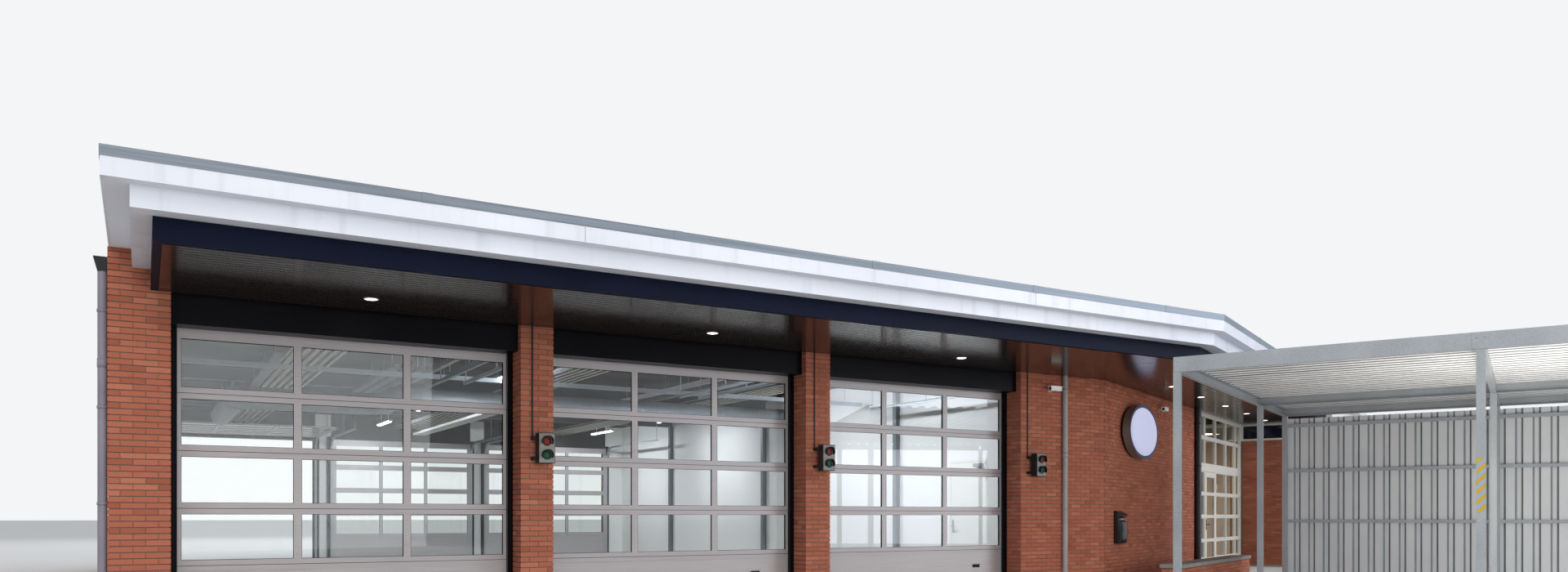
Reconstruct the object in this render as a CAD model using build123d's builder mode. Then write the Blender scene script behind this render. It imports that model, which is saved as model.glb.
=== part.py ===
from build123d import *
from math import cos, radians, sin, tan
import os

# Ambulance station: a drive-through vehicle hall with three sectional doors at each end, a brick wing
# turned back from its front, stepped eaves over both fronts and a steel carport before the wing.
# Millimetres, +Z up. The origin is the middle of the hall block at ground level, the front looks to -Y.

# Hall block
right_wall_width = 1880
hall_depth = 18000
floor_top = 50
wall_thickness = 300
corner_pier_width = 530
pier_width = 385
jamb_depth = 310
partition_return = 530
partition_thickness = 250

# Sectional doors
door_count = 3
door_width = 3640
door_head = 3210
header_setback = 100
portal_depth = 60
portal_hidden_width = 90
portal_visible_width = 70
portal_head_height = 120
leaf_gap = 5
leaf_thickness = 40
leaf_cover = 50
leaf_stile = 89
leaf_mullion = 80
leaf_head_overlap = 40
section_height = 610
section_joint_count = 4
bottom_section_top = 700
joint_rail = 120
bottom_rail = 90
top_rail = 146
joint_groove = 6
joint_groove_depth = 9
pane_columns = 3
glass_thickness = 16
panel_thickness = 22

# Door tracks
track_width = 45
track_depth = 50
track_wall = 6
track_side_gap = 0.5
track_bend_radius = 400
track_bend_steps = 3
track_bend_start = 2880
track_run = 3300
hanger_width = 40
hanger_thickness = 6
hanger_places = (1600, 3235)

# Roof and eaves
soffit_underside = 3510
soffit_thickness = 20
box_bottom = 3720
box_top = 3905
deck_top = 4062
trim_height = 88
trim_width = 60
trim_nose = 6
upper_overhang = 2600
wing_overhang = 2217
lower_inset = 146
beam_inset = 350
lower_end_inset = 200
beam_end_inset = 360
fascia_board = 25
beam_flange = 70

# Wing
wing_turn = 24
sign_wall_length = 5980
window_wall_length = 4580
end_block_length = 4440
end_block_projection = 2000
wing_depth = 8000
wing_roof_margin = 200
clerestory_sill = 3100
clerestory_bar = 45
clerestory_post = 90
clerestory_pitch = 1035
clerestory_lights = 4
clerestory_head = 3465
clerestory_glass_thickness = 24

# Entrance window wall
frame_depth = 90
frame_bar = 60
frame_setback = 40
plinth_top = 250
plinth_depth = 200
pane_pitch = 1000
pane_count = 5
transom_bottom = 2223
transom_top = 2397
low_bars = (697, 1227, 1731)
high_bar = 2972
frame_head = 3450
entrance_glass_thickness = 22
door_pane = 1

# Entrance leaf
leaf_clearance = 7
entrance_stile = 100
entrance_bar = 40
entrance_kick_rail = 240
entrance_leaf_depth = 56

# Inner hall door
hall_door_start = 1380
hall_door_width = 1010
hall_door_height = 2180
hall_frame_bar = 45
hall_leaf_depth = 45

# Hinges and handles
pin_radius = 7
pin_clearance = 0.3
knuckle_wall = 5
knuckle_sides = 12
knuckle_length = 60
knuckle_gap = 1
pin_shortfall = 4
hinge_plate = 6
hinge_plate_reach = 40
hinge_standoff = 14
hinge_heights = (300, 1900)
handle_height = 1050
handle_inset = 55
lever_length = 130
lever_width = 18
lever_round = 8
lever_standoff = 60
plate_width = 40
plate_height = 230
plate_thickness = 8
closer_length = 230
closer_height = 60
closer_depth = 45

# Steel frames and ceiling
frame_spacing = 5100
girder_height = 240
girder_width = 120
girder_flange = 10
girder_web = 7
column_size = 100
column_flange = 9
strip_width = 740
strip_height = 60
strip_sheet = 8
strip_rib = 50
strip_rib_count = 6
strip_offset = 150
luminaire_length = 1500
luminaire_width = 110
luminaire_height = 60
luminaire_corner = 24
luminaire_front_lines = (2400, 5200)
luminaire_rear_lines = (7000, 2500)
luminaire_offset = 875
luminaire_hanger_inset = 300
luminaire_hanger_width = 20
luminaire_hanger_thickness = 4
duct_radius = 200
duct_sides = 16
duct_bend_radius = 400
duct_bend_segments = 4
duct_axis_height = 3330
duct_line = 7200
duct_turn_x = 4150
duct_second_line = 8560
duct_end_x = 1700
duct_back_run = 4000
duct_strap_width = 40
duct_strap_thickness = 5
duct_back_straps = (700, 3400)

# Rainwater pipes
pipe_radius = 43
left_pipe_inset = 60
right_pipe_offset = 920
pipe_clip_heights = (1353, 2313, 3273)
clip_height = 30
clip_reach = 8
hopper_width = 130
hopper_height = 140
hopper_top = 3800
wing_pipe_radius = 70
wing_pipe_line = 5900

# Signals, cameras, sign and letter box
signal_width = 200
signal_height = 360
signal_depth = 120
signal_bottom = 1860
signal_offset = 250
signal_standoff = 80
signal_arm = 40
signal_arm_inset = 60
lamp_radius = 68
lamp_pitch = 165
hood_length = 60
hood_wall = 4
hood_sides = 12
conduit_size = 20
camera_size = 70
camera_length = 230
camera_height = 3275
camera_foot = 80
camera_foot_thickness = 8
camera_arm = 28
camera_standoff = 90
camera_offset = 625
wing_camera_line = 3200
sign_half_width = 850
sign_half_height = 480
sign_depth = 120
sign_standoff = 60
sign_line = 1650
sign_height = 2740
sign_stud = 40
sign_stud_spread = 500
letter_box_line = 640
letter_box_width = 330
letter_box_height = 520
letter_box_depth = 130
letter_box_bottom = 760
letter_lid_rise = 45
letter_lid_edge = 12
letter_lid_reach = 30

# Downlights
downlight_radius = 75
downlight_sides = 12
downlight_lip = 8
downlight_offset = 700
wing_light_start = 1560
wing_light_pitch = 2000
wing_light_count = 5

# Low wall before the wing
low_wall_length = 5100
low_wall_offset = 950
low_wall_thickness = 300
low_wall_height = 390
coping_thickness = 60
coping_overhang = 30

# Carport
carport_front_line = -3100
carport_middle_line = 2240
carport_rear_line = 4540
carport_offset = 2005
carport_bay = 3380
carport_bays = 3
post_size = 90
base_plate = 220
base_plate_thickness = 15
carport_beam_bottom = 3140
carport_beam_height = 200
carport_side_beam_height = 140
carport_beam_flange = 75
carport_beam_wall = 8
sheet_pitch = 250
sheet_depth = 38
sheet_rib_top = 60
sheet_rib_slope = 30
sheet_thickness = 4
wall_sheet_bottom = 120
wall_sheet_top = 3100
girt_heights = (1140, 2100, 2960)
girt_size = 60

os.makedirs("parts", exist_ok=True)

# Places worked out from the sizes
bay_pitch = door_width + pier_width
door_lefts = [corner_pier_width + index * bay_pitch for index in range(door_count)]
door_centres = [left + door_width / 2 for left in door_lefts]
last_jamb = door_lefts[-1] + door_width
facade_length = last_jamb + right_wall_width
right_pipe_line = last_jamb + right_pipe_offset
partition_inner_x = last_jamb + partition_return
partition_outer_x = partition_inner_x + partition_thickness
window_wall_end = sign_wall_length + window_wall_length
wing_length = window_wall_end + end_block_length
bend_tan = tan(radians(wing_turn / 2))
leaf_face = jamb_depth + portal_depth + leaf_gap
leaf_half = door_width / 2 - portal_visible_width + leaf_cover
leaf_top = door_head + leaf_head_overlap
wall_rise = box_top - floor_top


def level(height):
    """Horizontal plane, x from the hall's left corner and y from its front face."""
    return Plane(origin=(-facade_length / 2, -hall_depth / 2, height))


def wing_level(height):
    """Horizontal plane, x along the wing's front from the bend and y into the wing."""
    along = (cos(radians(wing_turn)), sin(radians(wing_turn)), 0)
    corner = (facade_length / 2, -hall_depth / 2, height)
    return Plane(origin=corner, x_dir=along, z_dir=(0, 0, 1))


def facing_front(across, depth):
    """Upright plane that looks out of the front, its origin at a place of the hall's plan."""
    origin = level(0).from_local_coords((across, depth, 0))
    return Plane(origin=origin, x_dir=(1, 0, 0), z_dir=(0, -1, 0))


def facing_rear(across, depth):
    """Upright plane that looks out of the rear, its origin at a depth from the rear face."""
    origin = level(0).from_local_coords((across, hall_depth - depth, 0))
    return Plane(origin=origin, x_dir=(-1, 0, 0), z_dir=(0, 1, 0))


def facing_side(across, depth=0):
    """Upright plane across the hall that faces +X, with x into the hall."""
    origin = level(0).from_local_coords((across, depth, 0))
    return Plane(origin=origin, x_dir=(0, 1, 0), z_dir=(1, 0, 0))


def wing_front(along, depth):
    """Upright plane that looks out of the wing's front, its origin at a place of its plan."""
    base = wing_level(0)
    origin = base.from_local_coords((along, depth, 0))
    return Plane(origin=origin, x_dir=base.x_dir, z_dir=-base.y_dir)


def wing_side(along):
    """Upright plane across the wing that faces along it, with x into the wing."""
    base = wing_level(0)
    origin = base.from_local_coords((along, 0, 0))
    return Plane(origin=origin, x_dir=base.y_dir, z_dir=base.x_dir)


def in_house(along, inward):
    """Place of a point of the wing's plan in the hall's plan."""
    turn = radians(wing_turn)
    x = facade_length + along * cos(turn) - inward * sin(turn)
    return (x, along * sin(turn) + inward * cos(turn))


def eaves_corner(overhang, over_wing):
    """Where an eaves line of the hall meets the one of the wing, in the hall's plan."""
    turn = radians(wing_turn)
    x = facade_length + (over_wing - overhang * cos(turn)) / sin(turn)
    return (x, -overhang)


def rear_corner(inward, x=partition_outer_x):
    """Where a line at a depth in the wing meets a line along the hall's side."""
    turn = radians(wing_turn)
    along = (x - facade_length + inward * sin(turn)) / cos(turn)
    return (x, along * sin(turn) + inward * cos(turn))


def block(x_min, x_max, y_min, y_max, mode=Mode.ADD):
    """Rectangle between two corners in the active sketch."""
    with Locations(((x_min + x_max) / 2, (y_min + y_max) / 2)):
        Rectangle(x_max - x_min, y_max - y_min, mode=mode)


def outline(*corners, mode=Mode.ADD):
    """Straight-sided face in the active sketch."""
    Polygon(*corners, align=None, mode=mode)


def save(builder, label):
    """Name a finished piece and write it."""
    builder.part.label = label
    export_step(builder.part, f"parts/{label}.step")


# Floor slab under the hall and the wing
with BuildPart() as floor_slab:
    with BuildSketch(level(0)):
        outline(
            (0, 0),
            (facade_length, 0),
            in_house(window_wall_end, 0),
            in_house(window_wall_end, -end_block_projection),
            in_house(wing_length, -end_block_projection),
            in_house(wing_length, wing_depth),
            rear_corner(wing_depth),
            (partition_outer_x, hall_depth),
            (0, hall_depth),
        )
    extrude(amount=floor_top)
save(floor_slab, "floor_slab")

# Brick piers of the front
with BuildPart() as front_piers:
    with BuildSketch(level(floor_top)):
        block(0, corner_pier_width, 0, jamb_depth)
        for left in door_lefts[1:]:
            block(left - pier_width, left, 0, jamb_depth)
    extrude(amount=wall_rise)
save(front_piers, "front_piers")

# Brick piers of the rear
with BuildPart() as rear_piers:
    with BuildSketch(level(floor_top)):
        block(0, corner_pier_width, hall_depth - jamb_depth, hall_depth)
        for left in door_lefts[1:]:
            block(left - pier_width, left, hall_depth - jamb_depth, hall_depth)
        block(last_jamb, partition_outer_x, hall_depth - jamb_depth, hall_depth)
    extrude(amount=wall_rise)
save(rear_piers, "rear_piers")

# Left side wall
with BuildPart() as left_wall:
    with BuildSketch(level(floor_top)):
        block(0, wall_thickness, jamb_depth, hall_depth - jamb_depth)
    extrude(amount=wall_rise)
save(left_wall, "left_wall")

# Front wall from the last door to the bend, mitred there
with BuildPart() as front_right_wall:
    with BuildSketch(level(floor_top)):
        outline(
            (last_jamb, 0),
            (facade_length, 0),
            (facade_length - jamb_depth * bend_tan, jamb_depth),
            (last_jamb, jamb_depth),
        )
    extrude(amount=wall_rise)
save(front_right_wall, "front_right_wall")

# Partition on the right of the hall, split beside and over the inner door
hall_door_end = hall_door_start + hall_door_width
hall_door_top = floor_top + hall_door_height
with BuildPart() as hall_wall_front:
    with BuildSketch(level(floor_top)):
        block(partition_inner_x, partition_outer_x, jamb_depth, hall_door_start)
    extrude(amount=wall_rise)
save(hall_wall_front, "hall_wall_front")

with BuildPart() as hall_wall_rear:
    with BuildSketch(level(floor_top)):
        block(partition_inner_x, partition_outer_x, hall_door_end, hall_depth - jamb_depth)
    extrude(amount=wall_rise)
save(hall_wall_rear, "hall_wall_rear")

with BuildPart() as hall_wall_lintel:
    with BuildSketch(level(hall_door_top)):
        block(partition_inner_x, partition_outer_x, hall_door_start, hall_door_end)
    extrude(amount=box_top - hall_door_top)
save(hall_wall_lintel, "hall_wall_lintel")


on_base = (Align.CENTER, Align.CENTER, Align.MIN)
under_top = (Align.CENTER, Align.CENTER, Align.MAX)
knuckle_radius = pin_radius + pin_clearance + knuckle_wall
knuckle = extrude(RegularPolygon(knuckle_radius, knuckle_sides), knuckle_length)


def pin_side_hinge(height):
    """Lower half of a lift-off hinge, about an axis at the active location: barrel, plate and pin."""
    add(Pos(0, 0, height - knuckle_gap / 2 - knuckle_length) * knuckle)
    with Locations((0, 0, height - knuckle_gap / 2)):
        Cylinder(pin_radius, knuckle_length - pin_shortfall, align=on_base)
    with Locations((hinge_plate_reach / 2, hinge_standoff - hinge_plate / 2, height - knuckle_gap / 2)):
        Box(hinge_plate_reach, hinge_plate, knuckle_length, align=under_top)


def leaf_side_hinge(height):
    """Upper half of a lift-off hinge, about an axis at the active location: bored barrel and plate."""
    add(Pos(0, 0, height + knuckle_gap / 2) * knuckle)
    with Locations((-hinge_plate_reach / 2, hinge_standoff - hinge_plate / 2, height + knuckle_gap / 2)):
        Box(hinge_plate_reach, hinge_plate, knuckle_length, align=on_base)
    with Locations((0, 0, height + knuckle_gap / 2)):
        Cylinder(pin_radius + pin_clearance, knuckle_length, align=on_base, mode=Mode.SUBTRACT)


# Steel frame lining the inner doorway, with the pins of its hinges
hall_hinge_y = hall_door_start + hall_frame_bar + leaf_clearance / 2
hall_axis = Plane(
    origin=level(0).from_local_coords((partition_inner_x - hinge_standoff, hall_hinge_y, 0)),
    x_dir=(0, -1, 0),
    z_dir=(0, 0, 1),
)
with BuildPart() as hall_door_frame:
    with BuildSketch(facing_side(partition_inner_x)):
        block(hall_door_start, hall_door_end, floor_top, hall_door_top)
        block(
            hall_door_start + hall_frame_bar,
            hall_door_end - hall_frame_bar,
            floor_top,
            hall_door_top - hall_frame_bar,
            mode=Mode.SUBTRACT,
        )
    extrude(amount=partition_thickness)
    with Locations(hall_axis):
        for height in hinge_heights:
            pin_side_hinge(height)
save(hall_door_frame, "hall_door_frame")

# Hall door leaf, with its closer's body near the hinges
hall_leaf_near = hall_door_start + hall_frame_bar + leaf_clearance
hall_leaf_far = hall_door_end - hall_frame_bar - leaf_clearance
hall_leaf_top = hall_door_top - hall_frame_bar - leaf_clearance
with BuildPart() as hall_door_leaf:
    with BuildSketch(facing_side(partition_inner_x)):
        block(hall_leaf_near, hall_leaf_far, floor_top + leaf_clearance, hall_leaf_top)
    extrude(amount=hall_leaf_depth)
    with Locations(hall_axis):
        for height in hinge_heights:
            leaf_side_hinge(height)
save(hall_door_leaf, "hall_door_leaf")


def lever(direction):
    """Lever handle in the active plane of a door's face, on a tall plate, turned to one side."""
    with BuildPart() as handle:
        with BuildSketch():
            Rectangle(plate_width, plate_height)
        extrude(amount=plate_thickness)
        with BuildSketch(Plane.XY.offset(plate_thickness)):
            Rectangle(lever_width, lever_width)
        extrude(amount=lever_standoff - plate_thickness)
        with BuildSketch(Plane.XY.offset(lever_standoff - lever_width)):
            reach = direction * (lever_length - lever_width / 2)
            block(min(0, reach), max(0, reach), -lever_width / 2, lever_width / 2)
        extrude(amount=lever_width)
        fillet(handle.edges().filter_by(Axis.Z).group_by(Axis.X)[0 if direction < 0 else -1], lever_round)
    return handle.part


left_lever = lever(-1)
right_lever = lever(1)

# Levers of the hall door on both faces, and the closer's body
hall_lever_y = hall_leaf_far - handle_inset
with BuildPart() as hall_door_fittings:
    for face_x, outward in ((partition_inner_x, -1), (partition_inner_x + hall_leaf_depth, 1)):
        foot = level(handle_height).from_local_coords((face_x, hall_lever_y, 0))
        add(Plane(origin=foot, x_dir=(0, 1, 0), z_dir=(outward, 0, 0)) * left_lever)
    closer_middle = (
        partition_inner_x - closer_depth / 2,
        hall_leaf_near + closer_length / 2 + hinge_plate_reach,
        hall_leaf_top - closer_height,
    )
    with Locations(level(0).from_local_coords(closer_middle)):
        Box(closer_depth, closer_length, closer_height)
save(hall_door_fittings, "hall_door_fittings")

# Dark headers over the doors
with BuildPart() as door_headers:
    with BuildSketch(level(door_head)):
        for left in door_lefts:
            block(left, left + door_width, header_setback, jamb_depth)
            block(left, left + door_width, hall_depth - jamb_depth, hall_depth - header_setback)
    extrude(amount=box_top - door_head)
save(door_headers, "door_headers")


def portal_face():
    """Steel portal round a doorway, drawn about the door's centre line."""
    outer = door_width / 2 + portal_hidden_width
    inner = door_width / 2 - portal_visible_width
    block(-outer, outer, floor_top, door_head + portal_head_height)
    block(-inner, inner, floor_top, door_head, mode=Mode.SUBTRACT)


# Steel portals behind the brick jambs
with BuildPart() as door_portals:
    for centre in door_centres:
        with BuildSketch(facing_front(centre, jamb_depth)):
            portal_face()
        extrude(amount=-portal_depth)
        with BuildSketch(facing_rear(centre, jamb_depth)):
            portal_face()
        extrude(amount=-portal_depth)
save(door_portals, "door_portals")


# Openings of a sectional leaf, as (left, right, bottom, top) about its centre line
section_joints = [bottom_section_top + index * section_height for index in range(section_joint_count)]
pane_rows = [
    (lower + joint_rail / 2, lower + section_height - joint_rail / 2) for lower in section_joints[:-1]
]
pane_rows.append((section_joints[-1] + joint_rail / 2, leaf_top - top_rail))
pane_edge = leaf_half - leaf_stile
pane_width = (2 * pane_edge - (pane_columns - 1) * leaf_mullion) / pane_columns
pane_lefts = [-pane_edge + index * (pane_width + leaf_mullion) for index in range(pane_columns)]
panes = [(left, left + pane_width, low, high) for left in pane_lefts for low, high in pane_rows]
panel = (-pane_edge, pane_edge, floor_top + bottom_rail, bottom_section_top - joint_rail / 2)

# Leaf planes: closed ones upright behind their portals, the raised one lying under its tracks
front_leaves = [facing_front(centre, leaf_face) for centre in door_centres]
raised_height = track_bend_start + track_bend_radius + leaf_thickness / 2
raised_origin = facing_rear(door_centres[0], leaf_face + track_bend_radius).origin
raised_leaf = Plane(
    origin=(raised_origin.X, raised_origin.Y, raised_height), x_dir=(-1, 0, 0), z_dir=(0, 0, 1)
)
rear_leaves = [raised_leaf] + [facing_rear(centre, leaf_face) for centre in door_centres[1:]]


def leaf_frame_face():
    """Rails, stiles and mullions of a sectional leaf."""
    block(-leaf_half, leaf_half, floor_top, leaf_top)
    for opening in panes + [panel]:
        block(*opening, mode=Mode.SUBTRACT)


def joint_lines():
    """Grooves where the sections of a leaf meet."""
    for joint in section_joints:
        block(-leaf_half, leaf_half, joint - joint_groove / 2, joint + joint_groove / 2)


for name, planes in (("front_door_leaves", front_leaves), ("rear_door_leaves", rear_leaves)):
    with BuildPart() as door_leaves:
        for plane in planes:
            with BuildSketch(plane):
                leaf_frame_face()
            extrude(amount=-leaf_thickness)
            with BuildSketch(plane):
                joint_lines()
            extrude(amount=-joint_groove_depth, mode=Mode.SUBTRACT)
    save(door_leaves, name)

for name, planes in (("front_door_glass", front_leaves), ("rear_door_glass", rear_leaves)):
    with BuildPart() as door_glass:
        for plane in planes:
            with BuildSketch(plane.offset(-(leaf_thickness - glass_thickness) / 2)):
                for pane in panes:
                    block(*pane)
            extrude(amount=-glass_thickness)
    save(door_glass, name)

# Solid infill of the bottom sections
with BuildPart() as door_panels:
    for plane in front_leaves + rear_leaves:
        with BuildSketch(plane.offset(-(leaf_thickness - panel_thickness) / 2)):
            block(*panel)
        extrude(amount=-panel_thickness)
save(door_panels, "door_panels")


# Channel tracks that carry the leaves up and under the roof, hung from the deck
track_axis = leaf_face - leaf_gap + track_depth / 2
track_offset = leaf_half + track_side_gap + track_width / 2
track_level = track_bend_start + track_bend_radius
with BuildPart() as door_tracks:
    for facing in (facing_front, facing_rear):
        for centre in door_centres:
            for side in (-1, 1):
                foot = facing(centre, track_axis)
                inward = -foot.z_dir
                origin = foot.from_local_coords((side * track_offset, floor_top, 0))
                run_plane = Plane(origin=origin, x_dir=inward, z_dir=inward.cross(Vector(0, 0, 1)))
                bend_start = track_bend_start - floor_top
                bend_turns = [radians(step * 90 / track_bend_steps) for step in range(track_bend_steps + 1)]
                bend_points = [
                    (track_bend_radius * (1 - cos(turn)), bend_start + track_bend_radius * sin(turn))
                    for turn in bend_turns
                ]
                run_end = (track_bend_radius + track_run, bend_start + track_bend_radius)
                with BuildLine(run_plane) as run:
                    Polyline((0, 0), *bend_points, run_end)
                open_shift = -side * track_wall
                with BuildSketch(Plane(origin=origin, x_dir=foot.x_dir, z_dir=(0, 0, 1))):
                    Rectangle(track_width, track_depth)
                    with Locations((open_shift, 0)):
                        Rectangle(track_width, track_depth - 2 * track_wall, mode=Mode.SUBTRACT)
                sweep(path=run.wires()[0], transition=Transition.RIGHT)
                for place in hanger_places:
                    top = origin + inward * (track_bend_radius + place)
                    strap_bottom = track_level + track_depth / 2
                    with Locations((top.X, top.Y, (strap_bottom + box_top) / 2)):
                        Box(hanger_thickness, hanger_width, box_top - strap_bottom)
save(door_tracks, "door_tracks")


# Steel frames: an I-section girder under the deck on two H-section columns
girder_bottom = box_top - girder_height
frame_lines = [hall_depth / 2 + step * frame_spacing for step in (-1, 0, 1)]
with BuildPart() as steel_frames:
    for line in frame_lines:
        with BuildSketch(facing_side(wall_thickness)):
            block(line - girder_width / 2, line + girder_width / 2, girder_bottom, box_top)
            for side in (-1, 1):
                pocket = line + side * (girder_width + girder_web) / 4
                with Locations((pocket, girder_bottom + girder_height / 2)):
                    Rectangle(
                        (girder_width - girder_web) / 2,
                        girder_height - 2 * girder_flange,
                        mode=Mode.SUBTRACT,
                    )
        extrude(amount=partition_inner_x - wall_thickness)
        with BuildSketch(level(floor_top)):
            for left in (wall_thickness, partition_inner_x - column_size):
                block(left, left + column_size, line - column_size / 2, line + column_size / 2)
                for side in (-1, 1):
                    pocket_width = column_size - 2 * column_flange
                    pocket = line + side * (column_size / 2 - pocket_width / 4)
                    with Locations((left + column_size / 2, pocket)):
                        Rectangle(pocket_width, pocket_width / 2, mode=Mode.SUBTRACT)
        extrude(amount=girder_bottom - floor_top)
save(steel_frames, "steel_frames")

# Ribbed ceiling strips that run from front to back under the girders, one in each bay
strip_lines = [centre + strip_offset for centre in door_centres]
strip_step = strip_width / strip_rib_count
with BuildPart() as ceiling_strips:
    for line in strip_lines:
        with BuildSketch(facing_front(line, jamb_depth)):
            block(-strip_width / 2, strip_width / 2, girder_bottom - strip_sheet, girder_bottom)
            for index in range(strip_rib_count):
                middle = -strip_width / 2 + (index + 0.5) * strip_step
                with Locations((middle, girder_bottom - strip_height / 2)):
                    Rectangle(strip_rib, strip_height)
        extrude(amount=-(hall_depth - 2 * jamb_depth))
save(ceiling_strips, "ceiling_strips")

# Linear luminaires level with the strips, two rows hung from the roof beside the outer bays
strip_bottom = girder_bottom - strip_height
luminaire_lines = list(luminaire_front_lines) + [hall_depth - line for line in luminaire_rear_lines]
luminaire_rows = (door_centres[1] - luminaire_offset, door_centres[-1] + luminaire_offset)
hanger_reach = luminaire_length / 2 - luminaire_hanger_inset
hanger_rise = box_top - strip_bottom
with BuildPart() as luminaires:
    for line in luminaire_rows:
        for place in luminaire_lines:
            for end in (place - hanger_reach, place + hanger_reach):
                with Locations(level(strip_bottom).from_local_coords((line, end, hanger_rise / 2))):
                    Box(luminaire_hanger_width, luminaire_hanger_thickness, hanger_rise)
            with BuildSketch(facing_front(line, place - luminaire_length / 2)):
                middle = strip_bottom - luminaire_height / 2
                with Locations((0, middle)):
                    Rectangle(luminaire_width, luminaire_height)
                chamfer(vertices().group_by(Axis.Y)[0], length=luminaire_corner)
            extrude(amount=-luminaire_length)
save(luminaires, "luminaires")

# Round duct across the hall in two runs and back along its left side, on straps from ribs and roof
duct_level = level(duct_axis_height)
duct_back_line = duct_second_line + duct_back_run


def duct_bend(x, y, across):
    """Points of a segmented quarter bend at a corner, from or into a run across the hall."""
    points = []
    for step in range(duct_bend_segments + 1):
        turned = radians(step * 90 / duct_bend_segments)
        aside = duct_bend_radius * (1 - cos(turned))
        ahead = duct_bend_radius * (1 - sin(turned))
        points.append((x + ahead, y + aside) if across else (x - aside, y - ahead))
    return points


duct_points = [
    (partition_inner_x, duct_line),
    *duct_bend(duct_turn_x, duct_line, True),
    *duct_bend(duct_turn_x, duct_second_line, False),
    *duct_bend(duct_end_x, duct_second_line, True),
    (duct_end_x, duct_back_line),
]
with BuildPart() as duct:
    with BuildLine(duct_level) as duct_run:
        Polyline(*duct_points)
    duct_start = duct_level.from_local_coords((partition_inner_x, duct_line, 0))
    with BuildSketch(Plane(origin=duct_start, z_dir=(-1, 0, 0))):
        RegularPolygon(duct_radius, duct_sides)
    sweep(path=duct_run.wires()[0], transition=Transition.RIGHT)
    strap_height = strip_bottom - duct_axis_height
    for line in strip_lines:
        rib = line + strip_step / 2
        run_line = duct_line if rib > duct_turn_x else duct_second_line
        if rib > duct_end_x + duct_bend_radius:
            with Locations(duct_level.from_local_coords((rib, run_line, strap_height / 2))):
                Box(duct_strap_thickness, duct_strap_width, strap_height)
    roof_strap_height = box_top - duct_axis_height
    for place in duct_back_straps:
        strap_line = duct_second_line + place
        with Locations(duct_level.from_local_coords((duct_end_x, strap_line, roof_strap_height / 2))):
            Box(duct_strap_width, duct_strap_thickness, roof_strap_height)
save(duct, "duct")


def roof_outline():
    """Edge of the roof: past both fronts, along the wing and flush with the hall's sides."""
    outline(
        (0, -upper_overhang),
        eaves_corner(upper_overhang, wing_overhang),
        in_house(wing_length + wing_roof_margin, -wing_overhang),
        in_house(wing_length + wing_roof_margin, wing_depth + wing_roof_margin),
        rear_corner(wing_depth + wing_roof_margin),
        (partition_outer_x, hall_depth + upper_overhang),
        (0, hall_depth + upper_overhang),
    )


with BuildSketch() as whole_roof:
    roof_outline()

# Roof deck, inside its fascia
with BuildPart() as roof_deck:
    with BuildSketch(level(box_top)):
        offset(whole_roof.sketch, amount=-fascia_board, kind=Kind.INTERSECTION, mode=Mode.ADD)
    extrude(amount=deck_top - box_top)
save(roof_deck, "roof_deck")

# White upper fascia round the deck
with BuildPart() as upper_fascia:
    with BuildSketch(level(box_top)):
        add(whole_roof.sketch)
        offset(whole_roof.sketch, amount=-fascia_board, kind=Kind.INTERSECTION, mode=Mode.SUBTRACT)
    extrude(amount=deck_top - box_top)
save(upper_fascia, "upper_fascia")

# Metal edge trim on the fascia, standing a little proud of it
with BuildPart() as roof_trim:
    with BuildSketch(level(deck_top)):
        offset(whole_roof.sketch, amount=trim_nose, kind=Kind.INTERSECTION, mode=Mode.ADD)
        offset(
            whole_roof.sketch,
            amount=trim_nose - trim_width,
            kind=Kind.INTERSECTION,
            mode=Mode.SUBTRACT,
        )
    extrude(amount=trim_height)
save(roof_trim, "roof_trim")


def front_eaves(inset, end_inset, mode=Mode.ADD):
    """Eaves region of the front, stepped in from the roof edge, from the wall out."""
    outline(
        (end_inset, 0),
        (end_inset, inset - upper_overhang),
        eaves_corner(upper_overhang - inset, wing_overhang - inset),
        in_house(window_wall_end, inset - wing_overhang),
        in_house(window_wall_end, 0),
        (facade_length, 0),
        mode=mode,
    )


def rear_eaves(inset, end_inset, mode=Mode.ADD):
    """Eaves region of the rear, stepped in from the roof edge."""
    reach = hall_depth + upper_overhang - inset
    block(end_inset, partition_outer_x - end_inset, hall_depth, reach, mode=mode)


# Boxed eaves between the two fascias
with BuildPart() as eaves_boxes:
    with BuildSketch(level(box_bottom)):
        front_eaves(lower_inset + fascia_board, lower_end_inset + fascia_board)
        rear_eaves(lower_inset + fascia_board, lower_end_inset + fascia_board)
    extrude(amount=box_top - box_bottom)
save(eaves_boxes, "eaves_boxes")

# White lower fascia on the boxes
with BuildPart() as lower_fascia:
    with BuildSketch(level(box_bottom)):
        front_eaves(lower_inset, lower_end_inset)
        rear_eaves(lower_inset, lower_end_inset)
        front_eaves(lower_inset + fascia_board, lower_end_inset + fascia_board, mode=Mode.SUBTRACT)
        rear_eaves(lower_inset + fascia_board, lower_end_inset + fascia_board, mode=Mode.SUBTRACT)
    extrude(amount=box_top - box_bottom)
save(lower_fascia, "lower_fascia")

# Dark edge beam under the boxes
with BuildPart() as eaves_beam:
    with BuildSketch(level(soffit_underside)):
        front_eaves(beam_inset, beam_end_inset)
        rear_eaves(beam_inset, beam_end_inset)
        front_eaves(beam_inset + beam_flange, beam_end_inset + beam_flange, mode=Mode.SUBTRACT)
        rear_eaves(beam_inset + beam_flange, beam_end_inset + beam_flange, mode=Mode.SUBTRACT)
    extrude(amount=box_bottom - soffit_underside)
save(eaves_beam, "eaves_beam")

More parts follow.
